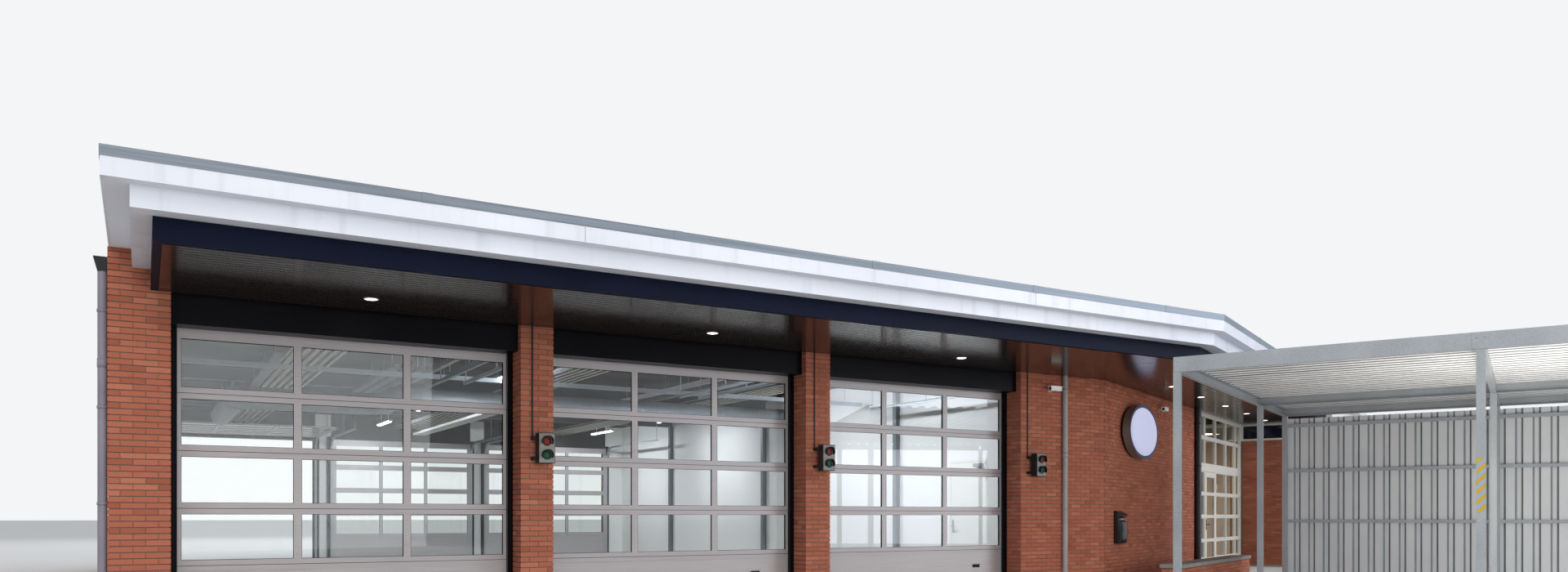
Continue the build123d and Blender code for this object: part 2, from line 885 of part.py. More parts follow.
# Glossy soffit between the edge beam and the walls
wing_lights = [wing_light_start + index * wing_light_pitch for index in range(wing_light_count)]
downlight_places = [(centre, -downlight_offset) for centre in door_centres]
downlight_places += [(centre, hall_depth + downlight_offset) for centre in door_centres]
downlight_places += [in_house(along, -downlight_offset) for along in wing_lights]
with BuildPart() as soffit:
    with BuildSketch(level(soffit_underside)):
        front_eaves(beam_inset + beam_flange, beam_end_inset + beam_flange)
        rear_eaves(beam_inset + beam_flange, beam_end_inset + beam_flange)
    extrude(amount=soffit_thickness)
save(soffit, "soffit")

# Flat round downlights on the soffit
with BuildPart() as downlights:
    with BuildSketch(level(soffit_underside)):
        with Locations(downlight_places):
            RegularPolygon(downlight_radius, downlight_sides)
    extrude(amount=-downlight_lip)
save(downlights, "downlights")

# Brick wall of the wing from the bend to the entrance, mitred at the bend
with BuildPart() as sign_wall:
    with BuildSketch(wing_level(floor_top)):
        outline(
            (0, 0),
            (sign_wall_length, 0),
            (sign_wall_length, jamb_depth),
            (jamb_depth * bend_tan, jamb_depth),
        )
    extrude(amount=wall_rise)
save(sign_wall, "sign_wall")

# Brick walls of the projecting end block, up to its high window band
block_return_end = window_wall_end + wall_thickness
block_front = -end_block_projection
with BuildPart() as end_block_wall:
    with BuildSketch(wing_level(floor_top)):
        block(window_wall_end, block_return_end, block_front, jamb_depth)
        block(window_wall_end, wing_length, block_front, block_front + wall_thickness)
    extrude(amount=clerestory_sill - floor_top)
save(end_block_wall, "end_block_wall")

# White frame of the high window band, with its deep head
with BuildPart() as clerestory_frame:
    for base, top in (
        (clerestory_sill, clerestory_sill + clerestory_bar),
        (clerestory_head, box_top),
    ):
        with BuildSketch(wing_level(base)):
            block(window_wall_end, block_return_end, block_front, jamb_depth)
            block(window_wall_end, wing_length, block_front, block_front + wall_thickness)
        extrude(amount=top - base)
    with BuildSketch(wing_level(clerestory_sill + clerestory_bar)):
        block(window_wall_end, block_return_end, 0, jamb_depth)
        block(window_wall_end, window_wall_end + clerestory_post, block_front, block_front + clerestory_post)
        block(wing_length - wall_thickness, wing_length, block_front, block_front + wall_thickness)
        for index in range(1, clerestory_lights):
            post = block_return_end + index * clerestory_pitch
            block(post, post + clerestory_bar, block_front, block_front + clerestory_post)
    extrude(amount=clerestory_head - clerestory_sill - clerestory_bar)
save(clerestory_frame, "clerestory_frame")

# One L of glass behind the posts of the band
glass_line = block_front + clerestory_post
with BuildPart() as clerestory_glass:
    with BuildSketch(wing_level(clerestory_sill + clerestory_bar)):
        inner = window_wall_end + clerestory_post
        block(inner, inner + clerestory_glass_thickness, glass_line, 0)
        block(inner, wing_length - wall_thickness, glass_line, glass_line + clerestory_glass_thickness)
    extrude(amount=clerestory_head - clerestory_sill - clerestory_bar)
save(clerestory_glass, "clerestory_glass")

# Walls of the wing's far end and rear
with BuildPart() as wing_back_wall:
    with BuildSketch(level(floor_top)):
        outline(
            in_house(wing_length, block_front + wall_thickness),
            in_house(wing_length, wing_depth),
            rear_corner(wing_depth),
            rear_corner(wing_depth - wall_thickness),
            in_house(wing_length - wall_thickness, wing_depth - wall_thickness),
            in_house(wing_length - wall_thickness, block_front + wall_thickness),
        )
    extrude(amount=wall_rise)
save(wing_back_wall, "wing_back_wall")

# Lines of the entrance window wall: mullions, the doorway and the rows of bars
mullions = [sign_wall_length + index * pane_pitch for index in range(1, pane_count)]
bar_half = frame_bar / 2
edges = [sign_wall_length + frame_bar - bar_half] + mullions + [window_wall_end - bar_half]
pane_spans = [(a + bar_half, b - bar_half) for a, b in zip(edges[:-1], edges[1:])]
door_left, door_right = pane_spans[door_pane]
low_levels = [plinth_top + bar_half] + list(low_bars) + [transom_bottom + bar_half]
low_spans = [(a + bar_half, b - bar_half) for a, b in zip(low_levels[:-1], low_levels[1:])]
high_spans = [(transom_top, high_bar - bar_half), (high_bar + bar_half, frame_head)]
lights = [(left, right, *span) for left, right in pane_spans for span in high_spans]
lights += [
    (left, right, *span)
    for index, (left, right) in enumerate(pane_spans)
    if index != door_pane
    for span in low_spans
]

# Brick plinths under the window wall, either side of the doorway
with BuildPart() as entrance_plinth:
    with BuildSketch(wing_level(floor_top)):
        block(sign_wall_length, door_left - frame_bar, 0, plinth_depth)
        block(door_right + frame_bar, window_wall_end, 0, plinth_depth)
    extrude(amount=plinth_top - floor_top)
save(entrance_plinth, "entrance_plinth")

# White frame of the window wall, with the pins of the door's hinges
entrance_axis = Plane(
    origin=wing_level(0).from_local_coords(
        (door_right - leaf_clearance / 2, frame_setback - hinge_standoff, 0)
    ),
    x_dir=wing_level(0).x_dir,
    z_dir=(0, 0, 1),
)
with BuildPart() as entrance_frame:
    with BuildSketch(wing_front(0, frame_setback)):
        block(sign_wall_length, window_wall_end, plinth_top, box_top)
        block(door_left - frame_bar, door_right + frame_bar, floor_top, plinth_top)
        block(door_left, door_right, floor_top, transom_bottom, mode=Mode.SUBTRACT)
        for light in lights:
            block(*light, mode=Mode.SUBTRACT)
    extrude(amount=-frame_depth)
    with Locations(entrance_axis):
        for height in hinge_heights:
            pin_side_hinge(height)
save(entrance_frame, "entrance_frame")

# Panes of the window wall
with BuildPart() as entrance_glass:
    with BuildSketch(wing_front(0, frame_setback + (frame_depth - entrance_glass_thickness) / 2)):
        for light in lights:
            block(*light)
    extrude(amount=-entrance_glass_thickness)
save(entrance_glass, "entrance_glass")

# Glazed entrance leaf
leaf_left = door_left + leaf_clearance
leaf_right = door_right - leaf_clearance
leaf_base = floor_top + leaf_clearance
leaf_head = transom_bottom - leaf_clearance
leaf_levels = [entrance_kick_rail + leaf_base - entrance_bar / 2] + list(low_bars)
leaf_levels += [leaf_head - entrance_stile + entrance_bar / 2]
leaf_lights = [
    (leaf_left + entrance_stile, leaf_right - entrance_stile, a + entrance_bar / 2, b - entrance_bar / 2)
    for a, b in zip(leaf_levels[:-1], leaf_levels[1:])
]
with BuildPart() as entrance_leaf:
    with BuildSketch(wing_front(0, frame_setback)):
        block(leaf_left, leaf_right, leaf_base, leaf_head)
        for light in leaf_lights:
            block(*light, mode=Mode.SUBTRACT)
    extrude(amount=-entrance_leaf_depth)
    with Locations(entrance_axis):
        for height in hinge_heights:
            leaf_side_hinge(height)
save(entrance_leaf, "entrance_leaf")

with BuildPart() as entrance_leaf_glass:
    leaf_glass_depth = frame_setback + (entrance_leaf_depth - entrance_glass_thickness) / 2
    with BuildSketch(wing_front(0, leaf_glass_depth)):
        for light in leaf_lights:
            block(*light)
    extrude(amount=-entrance_glass_thickness)
save(entrance_leaf_glass, "entrance_leaf_glass")

# Levers of the entrance leaf on both faces
with BuildPart() as entrance_handle:
    base = wing_level(handle_height)
    for face_y, outward in ((frame_setback, -1), (frame_setback + entrance_leaf_depth, 1)):
        foot = base.from_local_coords((leaf_left + handle_inset, face_y, 0))
        add(Plane(origin=foot, x_dir=base.x_dir, z_dir=base.y_dir * outward) * right_lever)
save(entrance_handle, "entrance_handle")


def pipe(radius, top):
    """Upright pipe about the active location."""
    Cylinder(radius, top, align=on_base)


# Grey rainwater pipes at the left corner and beside the third door, held off the wall by brackets
with BuildPart() as downpipes:
    pipe_standoff = -pipe_radius - clip_reach
    hopper_base = hopper_top - hopper_height
    with Locations(level(0).from_local_coords((pipe_standoff, left_pipe_inset, 0))):
        pipe(pipe_radius, hopper_base)
    with Locations(level(0).from_local_coords((right_pipe_line, pipe_standoff, 0))):
        pipe(pipe_radius, soffit_underside)
    for height in pipe_clip_heights:
        with Locations(level(height).from_local_coords((pipe_standoff / 2, left_pipe_inset, 0))):
            Box(-pipe_standoff, clip_height, clip_height)
        with Locations(level(height).from_local_coords((right_pipe_line, pipe_standoff / 2, 0))):
            Box(clip_height, -pipe_standoff, clip_height)
    with BuildSketch(level(hopper_base)):
        with Locations((pipe_standoff, left_pipe_inset)):
            Rectangle(2 * pipe_radius, 2 * pipe_radius)
    with BuildSketch(level(hopper_top)):
        with Locations((-hopper_width / 2, left_pipe_inset)):
            Rectangle(hopper_width, hopper_width)
    loft()
save(downpipes, "downpipes")

# Black pipe at the corner of the entrance, against the wall
with BuildPart() as wing_pipe:
    with Locations(wing_level(0).from_local_coords((wing_pipe_line, -wing_pipe_radius, 0))):
        pipe(wing_pipe_radius, soffit_underside)
save(wing_pipe, "wing_pipe")

# Signals beside the front doors: housing, hoods, arms to the wall and the conduit above
signal_front = -signal_standoff - signal_depth
signal_middle = signal_bottom + signal_height / 2
lamp_heights = (signal_middle - lamp_pitch / 2, signal_middle + lamp_pitch / 2)
with BuildPart() as signals:
    for left in door_lefts:
        jamb = left + door_width
        face = facing_front(jamb + signal_offset, signal_front)
        with BuildSketch(face):
            block(-signal_width / 2, signal_width / 2, signal_bottom, signal_bottom + signal_height)
        extrude(amount=-signal_depth)
        with BuildSketch(face):
            for height in lamp_heights:
                with Locations((0, height)):
                    RegularPolygon(lamp_radius, hood_sides)
                    RegularPolygon(lamp_radius - hood_wall, hood_sides, mode=Mode.SUBTRACT)
                    with Locations((0, -lamp_radius)):
                        Rectangle(2 * lamp_radius, lamp_radius, mode=Mode.SUBTRACT)
        extrude(amount=hood_length)
        arm_line = jamb + signal_offset - signal_width / 2 - signal_arm / 2
        arm_depth = signal_standoff + signal_arm
        for height in (signal_bottom + signal_arm_inset, signal_bottom + signal_height - signal_arm_inset):
            with Locations(level(height).from_local_coords((arm_line, -arm_depth / 2, 0))):
                Box(signal_arm, arm_depth, signal_arm)
        conduit_base = signal_bottom + signal_height - signal_arm_inset
        with Locations(level(conduit_base).from_local_coords((arm_line, -conduit_size / 2, 0))):
            Box(conduit_size, conduit_size, soffit_underside - conduit_base, align=on_base)
save(signals, "signals")

# Cameras on short arms from the walls
with BuildPart() as cameras:
    for wall in (facing_front(last_jamb + camera_offset, 0), wing_front(wing_camera_line, 0)):
        with BuildSketch(wall):
            with Locations((0, camera_height)):
                Rectangle(camera_foot, camera_foot)
        extrude(amount=camera_foot_thickness)
        with BuildSketch(wall):
            with Locations((0, camera_height)):
                Rectangle(camera_arm, camera_arm)
        extrude(amount=camera_standoff)
        with BuildSketch(wall.offset(camera_standoff)):
            with Locations((0, camera_height)):
                Rectangle(camera_length, camera_size)
        extrude(amount=camera_size)
save(cameras, "cameras")

# Oval light box on the wing, on studs
sign_plane = wing_front(sign_line, -sign_standoff)
with BuildPart() as sign_box:
    with BuildSketch(sign_plane):
        with Locations((0, sign_height)):
            Ellipse(sign_half_width, sign_half_height)
    extrude(amount=sign_depth)
    with BuildSketch(sign_plane):
        with Locations((-sign_stud_spread, sign_height), (sign_stud_spread, sign_height)):
            Rectangle(sign_stud, sign_stud)
    extrude(amount=-sign_standoff)
save(sign_box, "sign_box")

# Letter box on the wing, under a sloped lid
letter_box_top = letter_box_bottom + letter_box_height
with BuildPart() as letter_box:
    with BuildSketch(wing_front(letter_box_line, 0)):
        block(-letter_box_width / 2, letter_box_width / 2, letter_box_bottom, letter_box_top)
    extrude(amount=letter_box_depth)
    with BuildSketch(wing_side(letter_box_line - letter_box_width / 2)):
        outline(
            (0, letter_box_top),
            (0, letter_box_top + letter_lid_rise),
            (-letter_box_depth - letter_lid_reach, letter_box_top + letter_lid_edge),
            (-letter_box_depth - letter_lid_reach, letter_box_top),
        )
    extrude(amount=letter_box_width)
save(letter_box, "letter_box")

# Low wall before the wing, with its coping
with BuildPart() as low_wall:
    with BuildSketch(wing_level(0)):
        block(0, low_wall_length, -low_wall_offset - low_wall_thickness, -low_wall_offset)
    extrude(amount=low_wall_height)
save(low_wall, "low_wall")

with BuildPart() as low_wall_coping:
    with BuildSketch(wing_level(low_wall_height)):
        block(
            -coping_overhang,
            low_wall_length + coping_overhang,
            -low_wall_offset - low_wall_thickness - coping_overhang,
            coping_overhang - low_wall_offset,
        )
    extrude(amount=coping_thickness)
save(low_wall_coping, "low_wall_coping")

# Carport posts on base plates
carport_rows = [carport_offset + index * carport_bay for index in range(carport_bays + 1)]
carport_lines = (carport_front_line, carport_middle_line, carport_rear_line)
post_places = [(line, -row) for line in carport_lines for row in carport_rows]
with BuildPart() as carport_posts:
    with BuildSketch(wing_level(0)):
        with Locations(post_places):
            Rectangle(base_plate, base_plate)
    extrude(amount=base_plate_thickness)
    with BuildSketch(wing_level(0)):
        with Locations(post_places):
            Rectangle(post_size, post_size)
    extrude(amount=carport_beam_bottom)
save(carport_posts, "carport_posts")

# Channel beams over the posts: a high one in front, lower ones behind it and four rows between them
half_flange = carport_beam_flange / 2
side_beam_top = carport_beam_bottom + carport_side_beam_height
outer_row = -carport_rows[-1] - post_size / 2
inner_row = -carport_rows[0] + post_size / 2


def channel(middle, side, height):
    """Channel section over a post, its web on one side of the middle."""
    block(middle - half_flange, middle + half_flange, carport_beam_bottom, carport_beam_bottom + height)
    with Locations((middle - side * carport_beam_wall, carport_beam_bottom + height / 2)):
        Rectangle(carport_beam_flange, height - 2 * carport_beam_wall, mode=Mode.SUBTRACT)


with BuildPart() as carport_beams:
    for line in carport_lines:
        with BuildSketch(wing_front(0, outer_row)):
            if line == carport_front_line:
                channel(line, -1, carport_beam_height)
            else:
                channel(line, 1, carport_side_beam_height)
        extrude(amount=-(inner_row - outer_row))
    row_starts = (carport_front_line - half_flange + carport_beam_wall, carport_middle_line + half_flange)
    row_ends = (carport_middle_line - half_flange, carport_rear_line - half_flange)
    for row in carport_rows:
        web_side = 1 if row == carport_rows[0] else -1
        for start, end in zip(row_starts, row_ends):
            with BuildSketch(wing_side(start)):
                channel(-row, web_side, carport_side_beam_height)
            extrude(amount=end - start)
save(carport_beams, "carport_beams")


def ribbed_line(length):
    """Points of a trapezoidal sheet's upper line, from the first flat to the last."""
    flat = sheet_pitch - sheet_rib_top - 2 * sheet_rib_slope
    count = int(length // sheet_pitch)
    start = (length - count * sheet_pitch) / 2
    points = [(0, 0)]
    for index in range(count):
        foot = start + flat / 2 + index * sheet_pitch
        points.append((foot, 0))
        points.append((foot + sheet_rib_slope, sheet_depth))
        points.append((foot + sheet_rib_slope + sheet_rib_top, sheet_depth))
        points.append((foot + 2 * sheet_rib_slope + sheet_rib_top, 0))
    points.append((length, 0))
    return points


def sheet_section(length):
    """Closed section of a ribbed sheet of the given length."""
    upper = ribbed_line(length)
    lower = [(x, y + sheet_thickness) for x, y in reversed(upper)]
    return upper + lower


# Ribbed roof sheets behind the front beam, the ribs along it
sheet_start = carport_front_line + half_flange
sheet_length = carport_rear_line + half_flange - sheet_start
with BuildPart() as carport_roof:
    with BuildSketch(wing_front(sheet_start, outer_row)):
        outline(*[(x, y + side_beam_top) for x, y in sheet_section(sheet_length)])
    extrude(amount=-(inner_row - outer_row))
save(carport_roof, "carport_roof")

# Girts behind the rear posts
girt_line = carport_rear_line + post_size / 2
with BuildPart() as carport_girts:
    with BuildSketch(wing_front(girt_line, outer_row)):
        for height in girt_heights:
            block(0, girt_size, height - girt_size / 2, height + girt_size / 2)
    extrude(amount=-(inner_row - outer_row))
save(carport_girts, "carport_girts")

# Ribbed wall sheets on the girts, the ribs upright
with BuildPart() as carport_wall:
    sheet_base = wing_level(wall_sheet_bottom)
    origin = sheet_base.from_local_coords((girt_line + girt_size, inner_row, 0))
    with BuildSketch(Plane(origin=origin, x_dir=-sheet_base.y_dir, z_dir=(0, 0, 1))):
        outline(*sheet_section(inner_row - outer_row))
    extrude(amount=wall_sheet_top - wall_sheet_bottom)
save(carport_wall, "carport_wall")
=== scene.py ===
"""Looks of the ambulance station: brickwork, eaves, glazed doors, services, carport and the stage."""

import math
from functools import cache, partial

import bmesh
import bpy
from mathutils import Matrix, Vector


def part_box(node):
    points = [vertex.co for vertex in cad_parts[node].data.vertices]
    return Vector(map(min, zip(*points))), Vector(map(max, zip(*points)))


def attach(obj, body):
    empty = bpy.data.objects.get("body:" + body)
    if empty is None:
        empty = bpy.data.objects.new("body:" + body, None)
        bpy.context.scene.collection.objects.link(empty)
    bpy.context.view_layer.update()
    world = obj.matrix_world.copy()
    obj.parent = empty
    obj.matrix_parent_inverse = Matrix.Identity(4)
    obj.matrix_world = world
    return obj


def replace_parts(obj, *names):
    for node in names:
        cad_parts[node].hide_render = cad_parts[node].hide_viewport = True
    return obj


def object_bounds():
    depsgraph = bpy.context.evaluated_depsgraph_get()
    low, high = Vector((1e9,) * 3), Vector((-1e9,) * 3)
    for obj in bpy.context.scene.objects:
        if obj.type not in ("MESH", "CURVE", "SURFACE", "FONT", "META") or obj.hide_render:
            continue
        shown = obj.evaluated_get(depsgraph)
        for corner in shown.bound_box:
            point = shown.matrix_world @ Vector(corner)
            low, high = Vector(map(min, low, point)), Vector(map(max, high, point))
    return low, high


bl_info = {
    "name": "Ambulance station looks",
    "version": (1, 0, 0),
    "blender": (4, 5, 0),
    "location": "View3D > Sidebar > Station",
    "description": "Dresses the ambulance station's packed solids and sets its stage",
    "category": "Object",
}

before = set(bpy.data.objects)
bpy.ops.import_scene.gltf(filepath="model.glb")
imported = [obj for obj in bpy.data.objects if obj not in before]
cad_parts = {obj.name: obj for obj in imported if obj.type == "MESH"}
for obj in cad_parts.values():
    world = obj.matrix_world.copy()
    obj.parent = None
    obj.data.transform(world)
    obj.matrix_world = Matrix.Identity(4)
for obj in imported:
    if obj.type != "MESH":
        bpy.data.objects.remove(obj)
CAD_LOW, CAD_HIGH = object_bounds()
STATION = "station"
LEAF = "entrance_leaf"
UP = Vector((0, 0, 1))


def points_of(node):
    """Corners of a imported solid."""
    return [vert.co.copy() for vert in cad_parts[node].data.vertices]


def limits(points):
    """Lowest and highest corner of the box round some points."""
    return [Vector([pick(point[i] for point in points) for i in range(3)]) for pick in (min, max)]


# Plan of the hall, in metres
LEFT, _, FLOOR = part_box("left_wall")[0]
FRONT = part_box("front_piers")[0].y
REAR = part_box("rear_piers")[1].y
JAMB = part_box("front_piers")[1].y - FRONT
LAST_JAMB, BEND = (corner.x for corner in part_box("front_right_wall"))
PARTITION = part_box("hall_wall_rear")[1].x
UNDER_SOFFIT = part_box("soffit")[0].z + 0.02 - FLOOR
UNDER_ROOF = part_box("left_wall")[1].z - FLOOR
PIER_EDGES = sorted({round(point.x, 4) for point in points_of("front_piers")})[1:] + [LAST_JAMB]
JAMBS = list(zip(PIER_EDGES[0::2], PIER_EDGES[1::2]))

# Plan of the wing: x along its front from the bend, y into the wing
WING_TURN = math.radians(24)
WING = Matrix.Translation((BEND, FRONT, 0)) @ Matrix.Rotation(WING_TURN, 4, "Z")
TO_WING = WING.inverted()
SPIN, SPIN_BACK = WING.to_3x3(), TO_WING.to_3x3()


def span_in_wing(node):
    """Lowest and highest corner of a node in the wing's plan."""
    return limits([TO_WING @ point for point in points_of(node)])


SIGN_WALL = span_in_wing("sign_wall")
BACK_WALL = span_in_wing("wing_back_wall")
END_BLOCK = span_in_wing("end_block_wall")
WING_LENGTH, WING_DEPTH = BACK_WALL[1].xy

# Section joints of the doors, the gap beside a leaf and the frame round the entrance doorway
SECTION_JOINTS = [0.70 + 0.61 * step for step in range(4)]
LEAF_SIDE_GAP = 0.02
DOORWAY_FRAME = 0.067


# Colours and sizes that a user would change


def linear(hex_code):
    """sRGB hex to Blender's linear colour."""
    parts = [int(hex_code[i : i + 2], 16) / 255 for i in (1, 3, 5)]
    return tuple(c / 12.92 if c <= 0.04045 else ((c + 0.055) / 1.055) ** 2.4 for c in parts)


def shade(label, use, hex_code):
    """Colour property with its default given in sRGB hex."""
    return bpy.props.FloatVectorProperty(name=label, description=use, subtype="COLOR", size=3, min=0.0,
                                         max=1.0, default=linear(hex_code))


def length(label, use, metres):
    """Length property."""
    return bpy.props.FloatProperty(name=label, description=use, default=metres, min=0.0, unit="LENGTH")


class StationColours(bpy.types.PropertyGroup):
    """Colours of the station's finishes."""

    brick_dark: shade("Brick, dark", "Hardest fired bricks", "#93533f")
    brick_middle: shade("Brick, middle", "Most of the bricks", "#a4604a")
    brick_light: shade("Brick, light", "Palest bricks", "#b06e55")
    mortar: shade("Mortar", "Raked joints", "#6e645b")
    fascia: shade("Fascia", "Fascia boards and box eaves", "#d5d8df")
    trim: shade("Roof trim", "Weathered edge trim", "#838c95")
    edge_beam: shade("Edge beam", "Beam under the eaves boxes", "#0c1224")
    header: shade("Door header", "Casings over the doors", "#0a0a0f")
    soffit_board: shade("Soffit boards", "Lacquered boards under the eaves", "#241a15")
    rail: shade("Door rails", "Anodised rails and stiles", "#b3adac")
    door_panel: shade("Door panel", "Closed lower sections", "#b5b0af")
    zinc: shade("Zinc", "Galvanised posts, beams and ducts", "#a3a9ae")
    wall_sheet: shade("Wall sheet", "Ribbed wall sheets of the carport", "#c6cacd")
    roof_sheet: shade("Roof sheet", "Ribbed roof sheets of the carport", "#eceef0")
    # painted shade: the ribs' sides are coloured darker for the shadow they lie in
    rib_side: shade("Rib side", "Sides of the sheets' ribs", "#83898f")
    wall_paint: shade("Wall paint", "Inner walls", "#ecebe6")
    strip: shade("Ceiling strip", "Ribbed ceiling strips", "#d9cfb5")
    window_paint: shade("Window paint", "Frames of the entrance wall", "#e3e0d6")
    band_glass: shade("Band glass", "High window band of the end block", "#111829")
    steel: shade("Steel frame", "Columns and girders of the hall", "#676e73")
    left_pipe: shade("Left pipe", "Rainwater pipe at the left corner", "#7d7a85")
    right_pipe: shade("Right pipe", "Rainwater pipe at the doors", "#979595")
    black_paint: shade("Black paint", "Corner pipe, hoods and cast box", "#15161a")
    rubber: shade("Rubber", "Seals and gaskets", "#161718")
    felt: shade("Roofing felt", "Roof covering", "#56575b")
    deck_inside: shade("Deck inside", "Underside of the roof in the hall", "#1b1c1f")
    floor_paint: shade("Hall floor", "Polished screed", "#898782")
    concrete: shade("Concrete", "Coping and slab edge", "#86827d")
    tape_yellow: shade("Tape, amber", "Amber stripes on the carport post", "#c0a224")
    tape_grey: shade("Tape, grey", "Pale stripes on the carport post", "#9aa3bd")
    # painted reflection: the brown of the returns stands for a reflection on them
    sign_side: shade("Sign side", "Returns of the light box", "#685f56")
    sign_edge: shade("Sign edge", "Rim of the light box", "#191f55")
    signal_plate: shade("Signal plate", "Front plates of the signals", "#7f7d77")
    # the unlit lenses glow faintly in these colours: a painted glow
    lens_red: shade("Red lens", "Upper lens, unlit", "#5c100b")
    lens_green: shade("Green lens", "Lower lens, unlit", "#0d3b2a")
    cool_light: shade("Cool light", "Luminaires of the hall", "#eef3ff")
    sign_light: shade("Sign light", "Face of the light box", "#cdd2f2")
    warm_light: shade("Warm light", "Round lamps under the eaves", "#fff2da")


class StationSizes(bpy.types.PropertyGroup):
    """Sizes of what repeats on the station."""

    brick_length: length("Brick length", "Length of a brick's face", 0.215)
    brick_height: length("Brick height", "Height of a brick's face", 0.0515)
    bed_joint: length("Bed joint", "Height of a level mortar joint", 0.011)
    upright_joint: length("Upright joint", "Width of an upright mortar joint", 0.005)
    relief: length("Relief", "How far bricks stand out of their joints", 0.009)
    soffit_board: length("Soffit board", "Width of a soffit board with its joint", 0.100)
    soffit_joint: length("Soffit joint", "Open joint between soffit boards", 0.011)
    trim_length: length("Trim length", "Length of one piece of roof trim", 2.5)
    fascia_length: length("Fascia length", "Length of one fascia board", 6.0)
    seam_pitch: length("Seam pitch", "Advance of the duct's lock seam in a turn", 0.090)
    felt_width: length("Felt width", "Width of a roll of roofing felt", 1.0)
    stripe_pitch: length("Stripe pitch", "Height of a pair of tape stripes", 0.118)
    screw_spacing: length("Screw spacing", "Distance between sheet screws", 0.125)
    bolt: length("Bolt head", "Width of a bolt head", 0.028)
    seed: bpy.props.IntProperty(name="Seed", description="Start of the bricks' shades", default=11)


# Finishes

MATH, MIX, RANGE = "ShaderNodeMath", "ShaderNodeMix", "ShaderNodeMapRange"
MAPPING, AXES, COMBINE = "ShaderNodeMapping", "ShaderNodeSeparateXYZ", "ShaderNodeCombineXYZ"
BEFORE_COLOURS = (None,) * 5


def add(tree, kind, *values, out=0, **named):
    """Adds a node and gives one of its outputs; values go to sockets in order, and names to settings,
    or to sockets where they begin with a capital."""
    made = tree.nodes.new(kind)
    sockets = dict(enumerate(values))
    for key, value in named.items():
        if key[0].isupper():
            sockets[key.replace("_", " ")] = value
        else:
            setattr(made, key, value)
    for key, value in sockets.items():
        if isinstance(value, bpy.types.NodeSocket):
            tree.links.new(value, made.inputs[key])
        elif value is not None:
            made.inputs[key].default_value = value
    return made.outputs[out] if made.outputs else None


def tone(name, share=1.0):
    """A colour of the settings, made darker or lighter by a share."""
    colour = getattr(bpy.context.scene.station_colours, name)
    return (*(min(1.0, part * share) for part in colour), 1.0)


class Finish:
    """A material in the making: its shader's sockets and the place of a point on the object."""

    def __init__(self, name, **shader):
        self.material = bpy.data.materials.new(name)
        self.material.use_nodes = True
        tree = self.material.node_tree
        self.add, self.link = partial(add, tree), tree.links.new
        self.shader = tree.nodes["Principled BSDF"].inputs
        for key, value in shader.items():
            self.shader[key.replace("_", " ")].default_value = value
        self.place = self.add("ShaderNodeTexCoord", out="Object")

    def cells(self, sizes, detail=3.0):
        """Cloudy pattern with cells of so many millimetres, or so many along each axis."""
        sizes = sizes if isinstance(sizes, tuple) else (sizes,) * 3
        stretched = self.add(MAPPING, self.place, Scale=[1000.0 / size for size in sizes])
        return self.add("ShaderNodeTexNoise", Vector=stretched, Scale=1.0, Detail=detail)

    def toned(self, pattern, start, end, low, high, most=1.0):
        """Face that goes from one tone towards another while a pattern rises between two values."""
        share = self.add(RANGE, pattern, start, end, 0.0, most)
        return self.add(MIX, share, *BEFORE_COLOURS, low, high, data_type="RGBA", out=2)

    def wing_axes(self):
        """Place in the wing's plan, by axis."""
        moved = self.add(MAPPING, self.place, Location=(-BEND, -FRONT, 0))
        return self.add(AXES, self.add(MAPPING, moved, Rotation=(0, 0, -WING_TURN))).node.outputs

    def outward(self, ends=False):
        """How far a point lies outside the fronts or the rear, and past the ends too if asked, in metres."""
        add_node = self.add
        here, wing = add_node(AXES, self.place).node.outputs, self.wing_axes()
        reach = add_node(MATH, FRONT, here["Y"], operation="SUBTRACT")
        others = [add_node(MATH, here["Y"], REAR, operation="SUBTRACT"),
                  add_node(MATH, wing["Y"], -1.0, operation="MULTIPLY")]
        if ends:
            past_end = add_node(MATH, wing["X"], WING_LENGTH, operation="SUBTRACT")
            past_back = add_node(MATH, wing["Y"], WING_DEPTH, operation="SUBTRACT")
            past = add_node(MATH, past_end, past_back, operation="MAXIMUM")
            by_wing = add_node(MATH, here["X"], PARTITION, operation="GREATER_THAN")
            others += [add_node(MATH, LEFT, here["X"], operation="SUBTRACT"),
                       add_node(MATH, by_wing, past, operation="MULTIPLY")]
        for other in others:
            reach = add_node(MATH, reach, other, operation="MAXIMUM")
        return reach

    def done(self, face, rough=None, bump=None):
        """Ends the finish: its colour, its roughness by a pattern between two levels, and its bump by a
        height, a depth in millimetres and a strength."""
        if isinstance(face, bpy.types.NodeSocket):
            self.link(face, self.shader["Base Color"])
        else:
            self.shader["Base Color"].default_value = face
        if rough:
            pattern, low, high = rough
            self.link(self.add(RANGE, pattern, 0.2, 0.8, low, high), self.shader["Roughness"])
        if bump:
            height, depth, strength = bump
            bumpy = self.add("ShaderNodeBump", Height=height, Distance=depth / 1000.0, Strength=strength)
            self.link(bumpy, self.shader["Normal"])
        return self.material


def mottled(name, colour, spread=0.08, clouds=300.0, grain=5.0, depth=0.3, low=0.4, high=0.6, **shader):
    """Finish with clouds of tone over a fine grain; clouds, grain and depth are in millimetres."""
    made = Finish(name, **shader)
    soft = made.cells(clouds, 4.0)
    face = made.toned(soft, 0.3, 0.7, tone(colour, 1 - spread), tone(colour, 1 + spread))
    return made.done(face, (soft, low, high), (made.cells(grain, 2.0), depth, 0.5))


